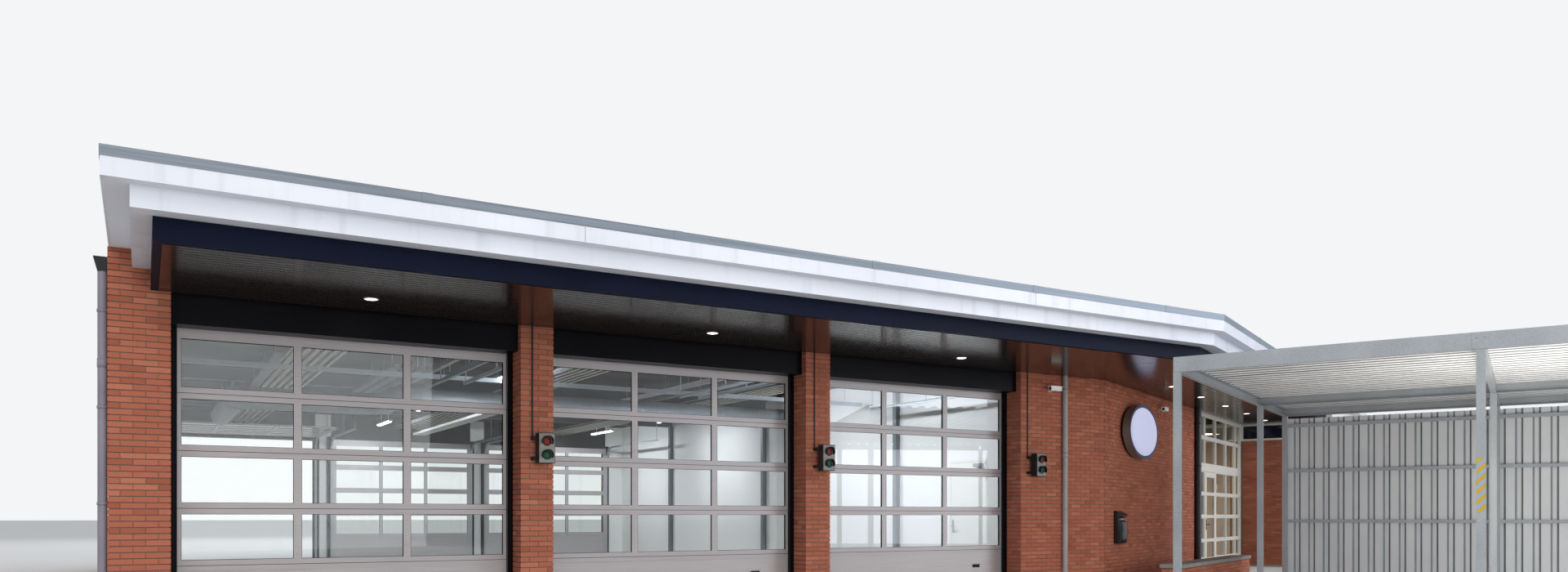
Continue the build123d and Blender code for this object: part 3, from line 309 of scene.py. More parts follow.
def brick_finish():
    """Hand-moulded facing brick: a tone for every brick, sanded faces and a few dark flashes."""
    made = Finish("facing_brick", Specular_IOR_Level=0.2)
    fired = made.add("ShaderNodeAttribute", attribute_name="shade", out="Fac")
    ramp = made.add("ShaderNodeValToRGB", fired)
    stops = ramp.node.color_ramp.elements
    stops[0].color, stops[1].color = tone("brick_dark"), tone("brick_light")
    for position, share in ((0.22, 0.97), (0.70, 1.03)):
        stops.new(position).color = tone("brick_middle", share)
    sand = made.cells(4)
    face = made.toned(made.cells(60, 4.0), 0.55, 0.75, ramp, tone("brick_dark", 0.8), 0.25)
    face = made.toned(sand, 0.5, 0.8, face, tone("brick_light", 1.1), 0.25)
    return made.done(face, (sand, 0.78, 0.94), (sand, 1.2, 0.7))


def fascia_finish():
    """White coated board, satin: rain streaks 140 mm apart run down from the trim."""
    made = Finish("white_coated_board", Specular_IOR_Level=0.4)
    rain = made.cells((140, 140, 1600))
    face = made.toned(made.cells(1400), 0.35, 0.65, tone("fascia", 0.95), tone("fascia", 1.03))
    face = made.toned(rain, 0.56, 0.78, face, tone("fascia", 0.66), 0.4)
    return made.done(face, (rain, 0.34, 0.52), (made.cells(40), 0.6, 0.3))


def trim_finish():
    """Extruded aluminium, weathered outdoors: dull bands 30 mm high along it."""
    made = Finish("weathered_aluminium", Metallic=0.6)
    bands = made.cells((1400, 1400, 30), 4.0)
    face = made.toned(bands, 0.3, 0.7, tone("trim", 0.8), tone("trim", 1.2))
    return made.done(face, (bands, 0.45, 0.6), (made.cells(16), 0.3, 0.4))


def coated_finish(name, colour, low=0.2, high=0.32, level=0.35):
    """Dark coating on steel or board: a slow ripple 160 mm long breaks its reflections."""
    made = Finish(name, Specular_IOR_Level=level)
    clouds = made.cells(800)
    face = made.toned(clouds, 0.3, 0.7, tone(colour, 0.75), tone(colour, 1.25))
    return made.done(face, (clouds, low, high), (made.cells(160), 1.2, 0.25))


def soffit_finish():
    """Brown lacquered boards along the walls: glossy strips parted by matt open joints, painted near black
    with the board edges beside them as painted shade.
    """
    sizes = bpy.context.scene.station_sizes
    made = Finish("lacquered_soffit_board", Specular_IOR_Level=0.3)
    along = made.add(MATH, made.outward(), sizes.soffit_board, operation="DIVIDE")
    from_joint = made.add(MATH, along, 0.5, operation="PINGPONG")
    edge = sizes.soffit_joint / sizes.soffit_board / 2
    joint = made.add(RANGE, from_joint, edge * 0.7, edge * 1.5, 1.0, 0.0)
    number = made.add(MATH, along, operation="FLOOR")
    board = made.add("ShaderNodeTexWhiteNoise", W=number, noise_dimensions="1D")
    worn = made.add(MIX, 0.4, None, board, made.cells(700, 5.0))
    boards = made.toned(worn, 0.0, 1.0, tone("soffit_board", 0.7), tone("soffit_board", 1.4))
    # painted shade: the open joints and the board edges beside them are coloured near black
    face = made.toned(joint, 0.0, 1.0, boards, tone("soffit_board", 0.12))
    gloss = made.add(RANGE, made.cells(200), 0.2, 0.8, 0.12, 0.2)
    made.link(made.add(MATH, gloss, joint, operation="MAXIMUM"), made.shader["Roughness"])
    return made.done(face, bump=(made.add(MATH, 1.0, joint, operation="SUBTRACT"), 6.0, 0.9))


def rail_finish(name, colour):
    """Anodised aluminium: extrusion lines 4 mm apart along the rail, silky."""
    made = Finish(name, Metallic=0.45)
    lines = made.cells((500, 500, 4), 2.0)
    face = made.toned(lines, 0.3, 0.7, tone(colour, 0.9), tone(colour, 1.08))
    return made.done(face, (lines, 0.34, 0.46))


def zinc_finish(name, colour, flake=10.0, metallic=0.4):
    """Hot-dip galvanised steel: zinc flakes of about 10 mm, faint among dull clouds."""
    made = Finish(name, Metallic=metallic)
    flakes = made.add("ShaderNodeTexVoronoi", Vector=made.place, Scale=1000.0 / flake, out="Color")
    tilt = made.add("ShaderNodeSeparateColor", flakes)
    mixed = made.add(MIX, 0.7, None, tilt, made.cells(500, 4.0))
    face = made.toned(mixed, 0.3, 0.7, tone(colour, 0.86), tone(colour, 1.12))
    return made.done(face, (mixed, 0.4, 0.58))


def glass_finish():
    """Float glass in the doors and windows, clear with a green breath."""
    made = Finish("float_glass", Transmission_Weight=1.0, Roughness=0.0, IOR=1.45)
    return made.done((0.92, 0.955, 0.94, 1.0))


def lamp_finish(name, colour, strength):
    """Opal acrylic lit from behind, even over its face."""
    made = Finish(name, Roughness=0.4, Emission_Strength=strength, Emission_Color=tone(colour))
    return made.done(tone(colour))


def felt_finish():
    """Bitumen felt with mineral grain of 3 mm, lapped once in every roll's width."""
    made = Finish("roofing_felt", Specular_IOR_Level=0.2)
    roll = bpy.context.scene.station_sizes.felt_width
    rolls = made.add(MATH, made.add(AXES, made.place, out="X"), roll, operation="DIVIDE")
    lap = made.add(RANGE, made.add(MATH, rolls, operation="FRACT"), 0.0, 0.025, 1.0, 0.0)
    grain = made.cells(3)
    face = made.toned(made.cells(2800, 5.0), 0.3, 0.7, tone("felt", 0.75), tone("felt", 1.25))
    face = made.toned(grain, 0.45, 0.7, face, tone("felt", 1.8), 0.5)
    face = made.toned(lap, 0.0, 1.0, face, tone("felt", 0.35), 0.6)
    return made.done(face, (grain, 0.85, 0.97), (made.add(MATH, grain, lap, operation="ADD"), 3.0, 0.6))


def deck_finish():
    """Underside of the roof: dark inside the hall, white coated board outside its walls."""
    made = Finish("roof_underside", Specular_IOR_Level=0.25)
    outside = made.add(MATH, made.outward(ends=True), 0.0, operation="GREATER_THAN")
    clouds = made.add(RANGE, made.cells(900), 0.3, 0.7, 0.0, 1.0)
    dark = made.toned(clouds, 0.0, 1.0, tone("deck_inside", 0.7), tone("deck_inside", 1.3))
    white = made.toned(clouds, 0.0, 1.0, tone("fascia", 0.95), tone("fascia", 1.03))
    face = made.toned(outside, 0.0, 1.0, dark, white)
    return made.done(face, (clouds, 0.55, 0.8), (made.cells(40), 0.5, 0.3))


def tape_finish():
    """Hazard tape on the carport post: amber and pale stripes at 45 degrees."""
    made = Finish("hazard_tape", Roughness=0.42)
    wing = made.wing_axes()
    climb = made.add(MATH, wing["Y"], wing["X"], operation="ADD")
    climb = made.add(MATH, made.add(AXES, made.place, out="Z"), climb, operation="ADD")
    pair = made.add(MATH, climb, bpy.context.scene.station_sizes.stripe_pitch, operation="DIVIDE")
    amber = made.add(MATH, made.add(MATH, pair, operation="FRACT"), 0.5, operation="GREATER_THAN")
    stripes = made.toned(amber, 0.0, 1.0, tone("tape_grey"), tone("tape_yellow"))
    face = made.toned(made.cells(25, 5.0), 0.55, 0.7, stripes, tone("zinc", 0.7), 0.3)
    return made.done(face, bump=(made.cells(2.5), 0.1, 0.4))


@cache
def all_finishes():
    """Every finish of the station by the name that the pieces use."""
    return {
        "brick": brick_finish(),
        # raked cement mortar: matt grey-brown with 2 mm sand, in shadow between the bricks
        "mortar": mottled("raked_mortar", "mortar", 0.12, 200, 2.5, 1.0, 0.88, 0.98, Specular_IOR_Level=0.2),
        # emulsion rolled on plaster: a 3 mm orange peel, nearly matt
        "plaster": mottled("rolled_wall_paint", "wall_paint", 0.02, 1200, 3.3, 0.3, 0.6, 0.75),
        "board": fascia_finish(),
        "trim": trim_finish(),
        "beam": coated_finish("coated_edge_beam", "edge_beam", 0.45, 0.6, 0.08),
        "header": coated_finish("coated_door_header", "header", 0.3, 0.4, 0.12),
        "soffit": soffit_finish(),
        "rails": rail_finish("anodised_rail", "rail"),
        "panel": rail_finish("anodised_panel", "door_panel"),
        "zinc": zinc_finish("hot_dip_galvanised", "zinc"),
        "zinc_sheet": zinc_finish("galvanised_sheet", "roof_sheet", 30.0, 0.0),
        "glass": glass_finish(),
        # body-tinted glass over a dark void: blue-black, mirror smooth
        "dark_glass": coated_finish("tinted_band_glass", "band_glass", 0.04, 0.08, 0.5),
        "felt": felt_finish(),
        "deck": deck_finish(),
        "tape": tape_finish(),
        "tube_light": lamp_finish("luminaire_opal", "cool_light", 150.0),
        "down_light": lamp_finish("downlight_opal", "warm_light", 9.0),
        "sign_face": lamp_finish("sign_opal", "sign_light", 0.3),
        # power-floated screed, polished by wheels: broad patches of shine
        "floor": mottled("polished_screed", "floor_paint", 0.12, 800, 4.5, 0.4, 0.3, 0.6),
        # cast concrete: 4 mm pits and matt clouds
        "concrete": mottled("cast_concrete", "concrete", 0.14, 250, 4.0, 0.8, 0.8, 0.95),
        # coil-coated steel sheet: cream, satin, faint waves
        "strip": mottled("coil_coated_strip", "strip", 0.04, 1200, 25, 0.2, 0.35, 0.5),
        # the same sheet on the ribs' sides, dull, painted steel grey as painted shade between the ribs
        "strip_side": mottled("dusty_strip_side", "steel", 0.15, 300, 25, 0.2, 0.5, 0.7),
        # brushed gloss paint on timber and steel windows
        "window": mottled("window_gloss_paint", "window_paint", 0.03, 500, 11, 0.2, 0.3, 0.45),
        # powder coat on the columns: fine 10 mm orange peel
        "steel": mottled("steel_frame_paint", "steel", 0.1, 330, 10, 0.3, 0.4, 0.55),
        # brushed stainless: very fine lines, bright
        "brushed": mottled("brushed_stainless", "zinc", 0.1, 160, 3.0, 0.1, 0.25, 0.4, Metallic=1.0),
        # plastic rainwater pipes, faded by the sun
        "left_pipe": mottled("faded_dark_pipe", "left_pipe", 0.1, 400, 12, 0.3, 0.45, 0.6),
        "right_pipe": mottled("faded_grey_pipe", "right_pipe", 0.1, 400, 12, 0.3, 0.45, 0.6),
        # black satin enamel
        "black": coated_finish("black_satin_enamel", "black_paint", 0.22, 0.34, 0.5),
        # rubber: deep black, dull
        "rubber": mottled("moulded_rubber", "rubber", 0.25, 80, 3.3, 0.3, 0.6, 0.8),
        # moulded housings with a fine leather grain
        "housing": mottled("moulded_housing", "rubber", 0.25, 120, 4.0, 0.3, 0.45, 0.6),
        "signal_plate": mottled("signal_plate_paint", "signal_plate", 0.1, 120, 5.0, 0.2, 0.35, 0.5),
        # the unlit signal lenses get a faint painted glow in their own colours
        "lens_red": lamp_finish("red_lens", "lens_red", 0.15),
        "lens_green": lamp_finish("green_lens", "lens_green", 0.1),
        # moulded plastic shells, clean and a little glossy
        "shell": mottled("white_plastic_shell", "wall_paint", 0.04, 120, 4.0, 0.1, 0.3, 0.4),
        # the light box's returns are coloured brown as a painted reflection
        "sign_side": mottled("bronze_sign_side", "sign_side", 0.1, 160, 6.0, 0.2, 0.3, 0.45),
        "sign_edge": mottled("blue_sign_edge", "sign_edge", 0.1, 160, 6.0, 0.1, 0.3, 0.4),
        # coated wall sheets, and the sides of their ribs, painted darker as painted shade
        "sheet": mottled("coated_wall_sheet", "wall_sheet", 0.05, 660, 20, 0.3, 0.4, 0.55, Metallic=0.1),
        "rib_side": mottled("dusty_rib_side", "rib_side", 0.12, 300, 20, 0.3, 0.5, 0.7),
    }


def coat(finish, *nodes):
    """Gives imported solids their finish."""
    for node in nodes:
        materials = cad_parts[node].data.materials
        materials.clear()
        materials.append(all_finishes()[finish])


# Meshes


def mesh_from(name, bm, crease=None, turn=True):
    """Mesh of a bmesh, its faces turned out if asked; smooth but for edges past a crease in degrees."""
    if turn:
        bmesh.ops.recalc_face_normals(bm, faces=bm.faces)
    if crease:
        for face in bm.faces:
            face.smooth = True
        for edge in bm.edges:
            edge.smooth = edge.calc_face_angle(0.0) < math.radians(crease)
    mesh = bpy.data.meshes.new(name)
    bm.to_mesh(mesh)
    bm.free()
    return mesh


def piece(name, shape, finishes, body=STATION):
    """Object of a mesh or bmesh that rides on a body; its finishes are parted by spaces."""
    mesh = shape if isinstance(shape, bpy.types.Mesh) else mesh_from(name, shape)
    made = bpy.data.objects.new(name, mesh)
    bpy.context.scene.collection.objects.link(made)
    for finish in finishes.split():
        mesh.materials.append(all_finishes()[finish])
    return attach(made, body)


def box_in(bm, low, high, place=Matrix(), index=0):
    """Box between two corners, put in place."""
    middle, size = (Vector(low) + Vector(high)) / 2, Vector(high) - Vector(low)
    matrix = place @ Matrix.Translation(middle) @ Matrix.Diagonal((*size, 1))
    made = bmesh.ops.create_cube(bm, size=1.0, matrix=matrix)
    for face in {face for vert in made["verts"] for face in vert.link_faces}:
        face.material_index = index


def tube_in(bm, start, end, radius, segments=32, index=0):
    """Round bar from one point to another."""
    start, end = Vector(start), Vector(end)
    run = end - start
    matrix = Matrix.Translation((start + end) / 2) @ run.to_track_quat("Z", "Y").to_matrix().to_4x4()
    made = bmesh.ops.create_cone(bm, cap_ends=True, segments=segments, radius1=radius, radius2=radius,
                                 depth=run.length, matrix=matrix)
    for face in {face for vert in made["verts"] for face in vert.link_faces}:
        face.material_index = index
        face.smooth = len(face.verts) == 4


def skin_in(bm, rows, index=0, closed=False, smooth=False, caps=False):
    """Faces between rows of points that follow each other, and on the first and last row if asked."""
    rows = [[bm.verts.new(point) for point in row] for row in rows]
    faces = [bm.faces.new(row) for row in (rows[0], rows[-1])] if caps else []
    for row, following in zip(rows, rows[1:]):
        for a in range(len(row) if closed else len(row) - 1):
            b = (a + 1) % len(row)
            face = bm.faces.new((row[a], row[b], following[b], following[a]))
            face.smooth = smooth
            faces.append(face)
    for face in faces:
        face.material_index = index


def circle_points(centre, radius, segments, right=Vector((1, 0, 0)), up=UP):
    """Points round a circle that two directions span."""
    turns = [2 * math.pi * step / segments for step in range(segments)]
    return [centre + right * radius * math.cos(turn) + up * radius * math.sin(turn) for turn in turns]


def clusters(points, reach):
    """Groups points whose plan distance from a group's first point is within a reach."""
    groups = []
    for point in points:
        near = [group for group in groups if (point.xy - group[0].xy).length < reach]
        if near:
            near[0].append(point)
        else:
            groups.append([point])
    return groups


def faced_copy(node, finishes, chooser):
    """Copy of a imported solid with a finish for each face, in place of the solid."""
    bm = bmesh.new()
    bm.from_mesh(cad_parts[node].data)
    bmesh.ops.remove_doubles(bm, verts=bm.verts, dist=1e-5)
    bm.normal_update()
    for face in bm.faces:
        face.material_index = int(chooser(face.calc_center_median(), face.normal))
    name = node + "_faces"
    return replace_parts(piece(name, mesh_from(name, bm, turn=False), finishes), node)


# What repeats, by geometry nodes


def evaluated(tree, values, points=None):
    """Plain mesh of a node tree run on points with these inputs."""
    holder = bpy.data.objects.new("holder", points or bpy.data.meshes.new("holder"))
    bpy.context.scene.collection.objects.link(holder)
    modifier = holder.modifiers.new("made", "NODES")
    modifier.node_group = tree
    for item in tree.interface.items_tree:
        if item.in_out == "INPUT" and item.name in values:
            modifier[item.identifier] = values[item.name]
    holder.update_tag()
    view = bpy.context.evaluated_depsgraph_get()
    mesh = bpy.data.meshes.new_from_object(holder.evaluated_get(view), depsgraph=view)
    bpy.data.objects.remove(holder)
    return mesh


def new_tree(name, **sockets):
    """Node tree with inputs named by kind; gives it, its way to add nodes and its inputs' sockets."""
    tree = bpy.data.node_groups.new(name, "GeometryNodeTree")
    for kind, labels in sockets.items():
        for label in labels:
            tree.interface.new_socket(name=label, in_out="INPUT", socket_type="NodeSocket" + kind)
    tree.interface.new_socket(name="Geometry", in_out="OUTPUT", socket_type="NodeSocketGeometry")
    return tree, partial(add, tree), add(tree, "NodeGroupInput").node.outputs


def close_tree(tree, instances, material):
    """Ends a tree: real geometry with its material."""
    real = add(tree, "GeometryNodeRealizeInstances", instances)
    add(tree, "NodeGroupOutput", add(tree, "GeometryNodeSetMaterial", Geometry=real, Material=material))
    return tree


def small_parts(name, shape, places, size, finish):
    """One plain mesh of heads, rods or plates at (point, facing) places: a head's or rod's axis, or a
    plate's length, is turned to its facing."""
    points = bpy.data.meshes.new(name)
    points.from_pydata([point for point, _ in places], [], [])
    facings = points.attributes.new("facing", "FLOAT_VECTOR", "POINT")
    facings.data.foreach_set("vector", [part for _, facing in places for part in facing])
    tree, node, given = new_tree(name, Geometry=("Geometry",), Vector=("Size",), Material=("Material",))
    facing = node("GeometryNodeInputNamedAttribute", Name="facing", data_type="FLOAT_VECTOR")
    if shape == "plate":
        made = node("GeometryNodeMeshCube", Size=(1.0, 1.0, 1.0))
        axes = {"axis": "X", "pivot_axis": "Z"}
    else:
        sides = 6 if shape == "head" else 12
        made = node("GeometryNodeMeshCylinder", Vertices=sides, Radius=0.5, Depth=1.0)
        axes = {"axis": "Z"}
    turn = node("FunctionNodeAlignRotationToVector", Vector=facing, **axes)
    placed = node("GeometryNodeInstanceOnPoints", Points=given["Geometry"], Instance=made, Rotation=turn,
                  Scale=given["Size"])
    values = {"Size": size, "Material": all_finishes()[finish]}
    piece(name, evaluated(close_tree(tree, placed, given["Material"]), values, points), "")


def brick_tree():
    """Running bond on a panel: x along the wall, y into it, z up; a shade for every brick."""
    lengths = ("Width", "Height", "Brick Length", "Brick Height", "Bed Joint", "Upright Joint", "Relief",
               "Phase")
    tree, node, given = new_tree("brick_bond", Float=lengths, Int=("Seed",), Material=("Brick",))
    known = dict(given.items()) | {"index": node("GeometryNodeInputIndex")}
    for name, operation, *values in (
        ("pitch", "ADD", "Brick Length", "Upright Joint"), ("course", "ADD", "Brick Height", "Bed Joint"),
        ("pitches", "DIVIDE", "Width", "pitch"), ("whole", "CEIL", "pitches"),
        ("columns", "ADD", "whole", 2.0), ("courses", "DIVIDE", "Height", "course"),
        ("nearly", "SUBTRACT", "courses", 0.5), ("rows", "CEIL", "nearly"),
        ("count", "MULTIPLY", "columns", "rows"), ("inside", "ADD", "index", 0.5),
        ("passed", "DIVIDE", "inside", "columns"), ("row", "FLOOR", "passed"),
        ("before", "MULTIPLY", "row", "columns"), ("column", "SUBTRACT", "index", "before"),
        ("phased", "ADD", "row", "Phase"), ("halves", "MULTIPLY", "phased", 0.5),
        ("odd", "FRACT", "halves"), ("shifted", "ADD", "column", "odd"),
        ("step", "SUBTRACT", "shifted", 1.0), ("left", "MULTIPLY", "step", "pitch"),
        ("start", "MAXIMUM", "left", 0.0), ("right", "ADD", "left", "Brick Length"),
        ("end", "MINIMUM", "right", "Width"), ("half_joint", "MULTIPLY", "Bed Joint", 0.5),
        ("risen", "MULTIPLY", "row", "course"), ("bed", "ADD", "risen", "half_joint"),
        ("head", "ADD", "bed", "Brick Height"), ("top", "MINIMUM", "head", "Height"),
        ("width", "SUBTRACT", "end", "start"), ("height", "SUBTRACT", "top", "bed"),
        ("ends", "ADD", "start", "end"), ("x", "MULTIPLY", "ends", 0.5), ("y", "MULTIPLY", "Relief", -0.5),
        ("beds", "ADD", "bed", "top"), ("z", "MULTIPLY", "beds", 0.5),
        ("wide", "GREATER_THAN", "width", 0.02),
    ):
        known[name] = node(MATH, *(known.get(value, value) for value in values), operation=operation)
    place = node(COMBINE, known["x"], known["y"], known["z"])
    size = node(COMBINE, known["width"], known["Relief"], known["height"])
    laid = node("GeometryNodeSetPosition", Position=place,
                Geometry=node("GeometryNodeMeshLine", Count=known["count"]))
    facing = node(AXES, node("GeometryNodeInputNormal"), out="Y")
    open_cube = node("GeometryNodeDeleteGeometry", node("GeometryNodeMeshCube", Size=(1.0, 1.0, 1.0)),
                     node(MATH, facing, 0.5, operation="GREATER_THAN"), domain="FACE")
    bricks = node("GeometryNodeInstanceOnPoints", Points=laid, Selection=known["wide"], Instance=open_cube,
                  Scale=size)
    fired = node("FunctionNodeRandomValue", Seed=known["Seed"], data_type="FLOAT", out=1)
    shaded = node("GeometryNodeStoreNamedAttribute", Geometry=bricks, Name="shade", Value=fired,
                  data_type="FLOAT", domain="INSTANCE")
    return close_tree(tree, shaded, known["Brick"])


# Brickwork


def rear_start(depth):
    """Where a line at that depth of the wing meets the hall, along the wing."""
    return (PARTITION - BEND + depth * math.sin(WING_TURN)) / math.cos(WING_TURN)


def hall_panels():
    """Brick panels of the hall: start, turn, width, height, first course's shift and outer corners."""
    piers = [(LEFT, JAMBS[0][0])] + [(left[1], right[0]) for left, right in zip(JAMBS, JAMBS[1:])]
    made = [(LEFT, REAR, -90, REAR - FRONT, UNDER_ROOF, 0, False)]
    for index, (low, high) in enumerate(piers):
        height = UNDER_SOFFIT if index else UNDER_ROOF
        made += [(x, y, turn, high - low, height, 1, True) for x, y, turn in
                 ((low, FRONT, 0), (high, REAR, 180))]
    made += [(LAST_JAMB, FRONT, 0, BEND - LAST_JAMB, UNDER_SOFFIT, 1, False),
             (PARTITION, REAR, 180, PARTITION - LAST_JAMB, UNDER_SOFFIT, 1, True)]
    for low, high in JAMBS:
        made += [(x, y, turn, JAMB, UNDER_SOFFIT, 0, False) for x, y, turn in
                 ((low, FRONT, 90), (high, FRONT + JAMB, -90), (low, REAR - JAMB, 90), (high, REAR, -90))]
    notch = (WING @ Vector((rear_start(WING_DEPTH), WING_DEPTH, 0))).y
    return made + [(PARTITION, notch, 90, REAR - notch, UNDER_ROOF, 0, False)]


def wing_panels():
    """Brick panels of the wing and of the low wall before it, which starts lower than the floor."""
    start, end, out, wall = SIGN_WALL[1].x, END_BLOCK[0].x, END_BLOCK[0].y, BACK_WALL[0].y
    sill = END_BLOCK[1].z - FLOOR
    made = [
        (0, 0, 0, start, UNDER_SOFFIT, 0, False),
        (end, 0, -90, -out, sill, 0, False),
        (end, out, 0, WING_LENGTH - end, sill, 1, True),
        (WING_LENGTH, out, 90, wall - out, sill, 0, False),
        (WING_LENGTH, wall, 90, WING_DEPTH - wall, UNDER_ROOF, 1, False),
        (WING_LENGTH, WING_DEPTH, 180, WING_LENGTH - rear_start(WING_DEPTH), UNDER_ROOF, 0, False),
    ]
    plinth, doorway = span_in_wing("entrance_plinth"), span_in_wing("entrance_leaf")
    before, after = doorway[0].x - DOORWAY_FRAME, doorway[1].x + DOORWAY_FRAME
    for low, high in ((plinth[0].x, before), (after, plinth[1].x)):
        made.append((low, 0, 0, high - low, plinth[1].z - FLOOR, 0, False))
    low, high = span_in_wing("low_wall")
    long, wide = high.x - low.x, high.y - low.y
    return made + [
        (low.x, low.y, 0, long, high.z, 1, True, 0), (high.x, high.y, 180, long, high.z, 1, True, 0),
        (low.x, high.y, -90, wide, high.z, 0, False, 0), (high.x, low.y, 90, wide, high.z, 0, False, 0),
    ]


class STATION_OT_brickwork(bpy.types.Operator):
    """Lays the facing bricks over the mortar of all outer walls"""

    bl_idname = "station.brickwork"
    bl_label = "Lay brickwork"

    def execute(self, context):
        sizes = context.scene.station_sizes
        tree = brick_tree()
        shared = {name.replace("_", " ").title(): getattr(sizes, name) for name in (
            "brick_length", "brick_height", "bed_joint", "upright_joint", "relief")}
        shared["Brick"] = all_finishes()["brick"]
        for name, plan, panels in (("hall_bricks", Matrix(), hall_panels()),
                                   ("wing_bricks", WING, wing_panels())):
            parts = []
            for number, (x, y, turn, width, height, phase, corners, *base) in enumerate(panels):
                past = sizes.relief if corners else 0.0
                own = {"Width": width + 2 * past, "Height": height, "Phase": float(phase),
                       "Seed": sizes.seed + number}
                mesh = evaluated(tree, shared | own)
                turned = Matrix.Rotation(math.radians(turn), 4, "Z") @ Matrix.Translation((-past, 0, 0))
                mesh.transform(plan @ Matrix.Translation((x, y, base[0] if base else FLOOR)) @ turned)
                parts.append(bpy.data.objects.new(name, mesh))
                context.scene.collection.objects.link(parts[-1])
            with context.temp_override(active_object=parts[0], selected_editable_objects=parts):
                bpy.ops.object.join()
            parts[0].data.name = name
            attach(parts[0], STATION)
        return {"FINISHED"}


class STATION_OT_walls(bpy.types.Operator):
    """Gives walls, floor and roof deck a finish for each side"""

    bl_idname = "station.walls"
    bl_label = "Finish walls"

    def execute(self, context):
        inner = 0.02

        def to_front(centre, normal):
            return (TO_WING @ centre).y < WING_DEPTH - inner and (SPIN_BACK @ normal).y > 0.5

        def to_back(centre, normal):
            spot, turned = TO_WING @ centre, SPIN_BACK @ normal
            by_back = spot.y < WING_DEPTH - inner and turned.y < -0.5
            return by_back or (spot.x < WING_LENGTH - inner and turned.x < -0.5)

        def to_block(centre, normal):
            beside = (TO_WING @ centre).x < WING_LENGTH - inner and (SPIN_BACK @ normal).x > 0.5
            return beside or to_front(centre, normal)

        for name, rule in (
            ("left_wall", lambda centre, normal: normal.x > 0.5),
            ("front_piers", lambda centre, normal: normal.y > 0.5),
            ("rear_piers", lambda centre, normal: normal.y < -0.5),
            ("front_right_wall", lambda centre, normal: normal.y > 0.5),
            ("hall_wall_rear", lambda centre, normal: normal.y < 0.5 and (normal.x <= 0.5 or centre.y <= 0)),
            ("sign_wall", to_front), ("wing_back_wall", to_back), ("end_block_wall", to_block),
        ):
            faced_copy(name, "mortar plaster", rule)
        coat("plaster", "hall_wall_front", "hall_wall_lintel")
        coat("mortar", "entrance_plinth", "low_wall")
        coat("concrete", "low_wall_coping")
        faced_copy("floor_slab", "concrete floor", lambda centre, normal: normal.z > 0.5)
        faced_copy("roof_deck", "felt deck", lambda centre, normal: normal.z < -0.5)
        return {"FINISHED"}


# Eaves


def roof_corners():
    """Corners of the roof edge, anticlockwise from the left front."""
    low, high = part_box("upper_fascia")
    edge = [TO_WING @ point for point in points_of("upper_fascia")]
    end, beyond = max(point.x for point in edge), [point.y for point in edge if point.x > WING_LENGTH]
    over_wing, depth = -min(beyond), max(beyond)
    corner_x = BEND + (over_wing - (FRONT - low.y) * math.cos(WING_TURN)) / math.sin(WING_TURN)
    by_wing = ((end, -over_wing), (end, depth), (rear_start(depth), depth))
    return [
        Vector((low.x, low.y, 0)), Vector((corner_x, low.y, 0)), *(WING @ Vector((*at, 0)) for at in by_wing),
        Vector((PARTITION, high.y, 0)), Vector((low.x, high.y, 0)),
    ]


def along_edges(corners, pitch, first, outward, height):
    """Places at a pitch along closed edges, so far outside them, with each edge's direction."""
    places = []
    for start, end in zip(corners, corners[1:] + corners[:1]):
        run = end - start
        direction = run.normalized()
        right = direction.cross(UP)
        for step in range(int((run.length - first - 0.05) // pitch) + 1):
            spot = start + direction * (first + pitch * step) + right * outward
            places.append((spot + Vector((0, 0, height)), direction))
    return places


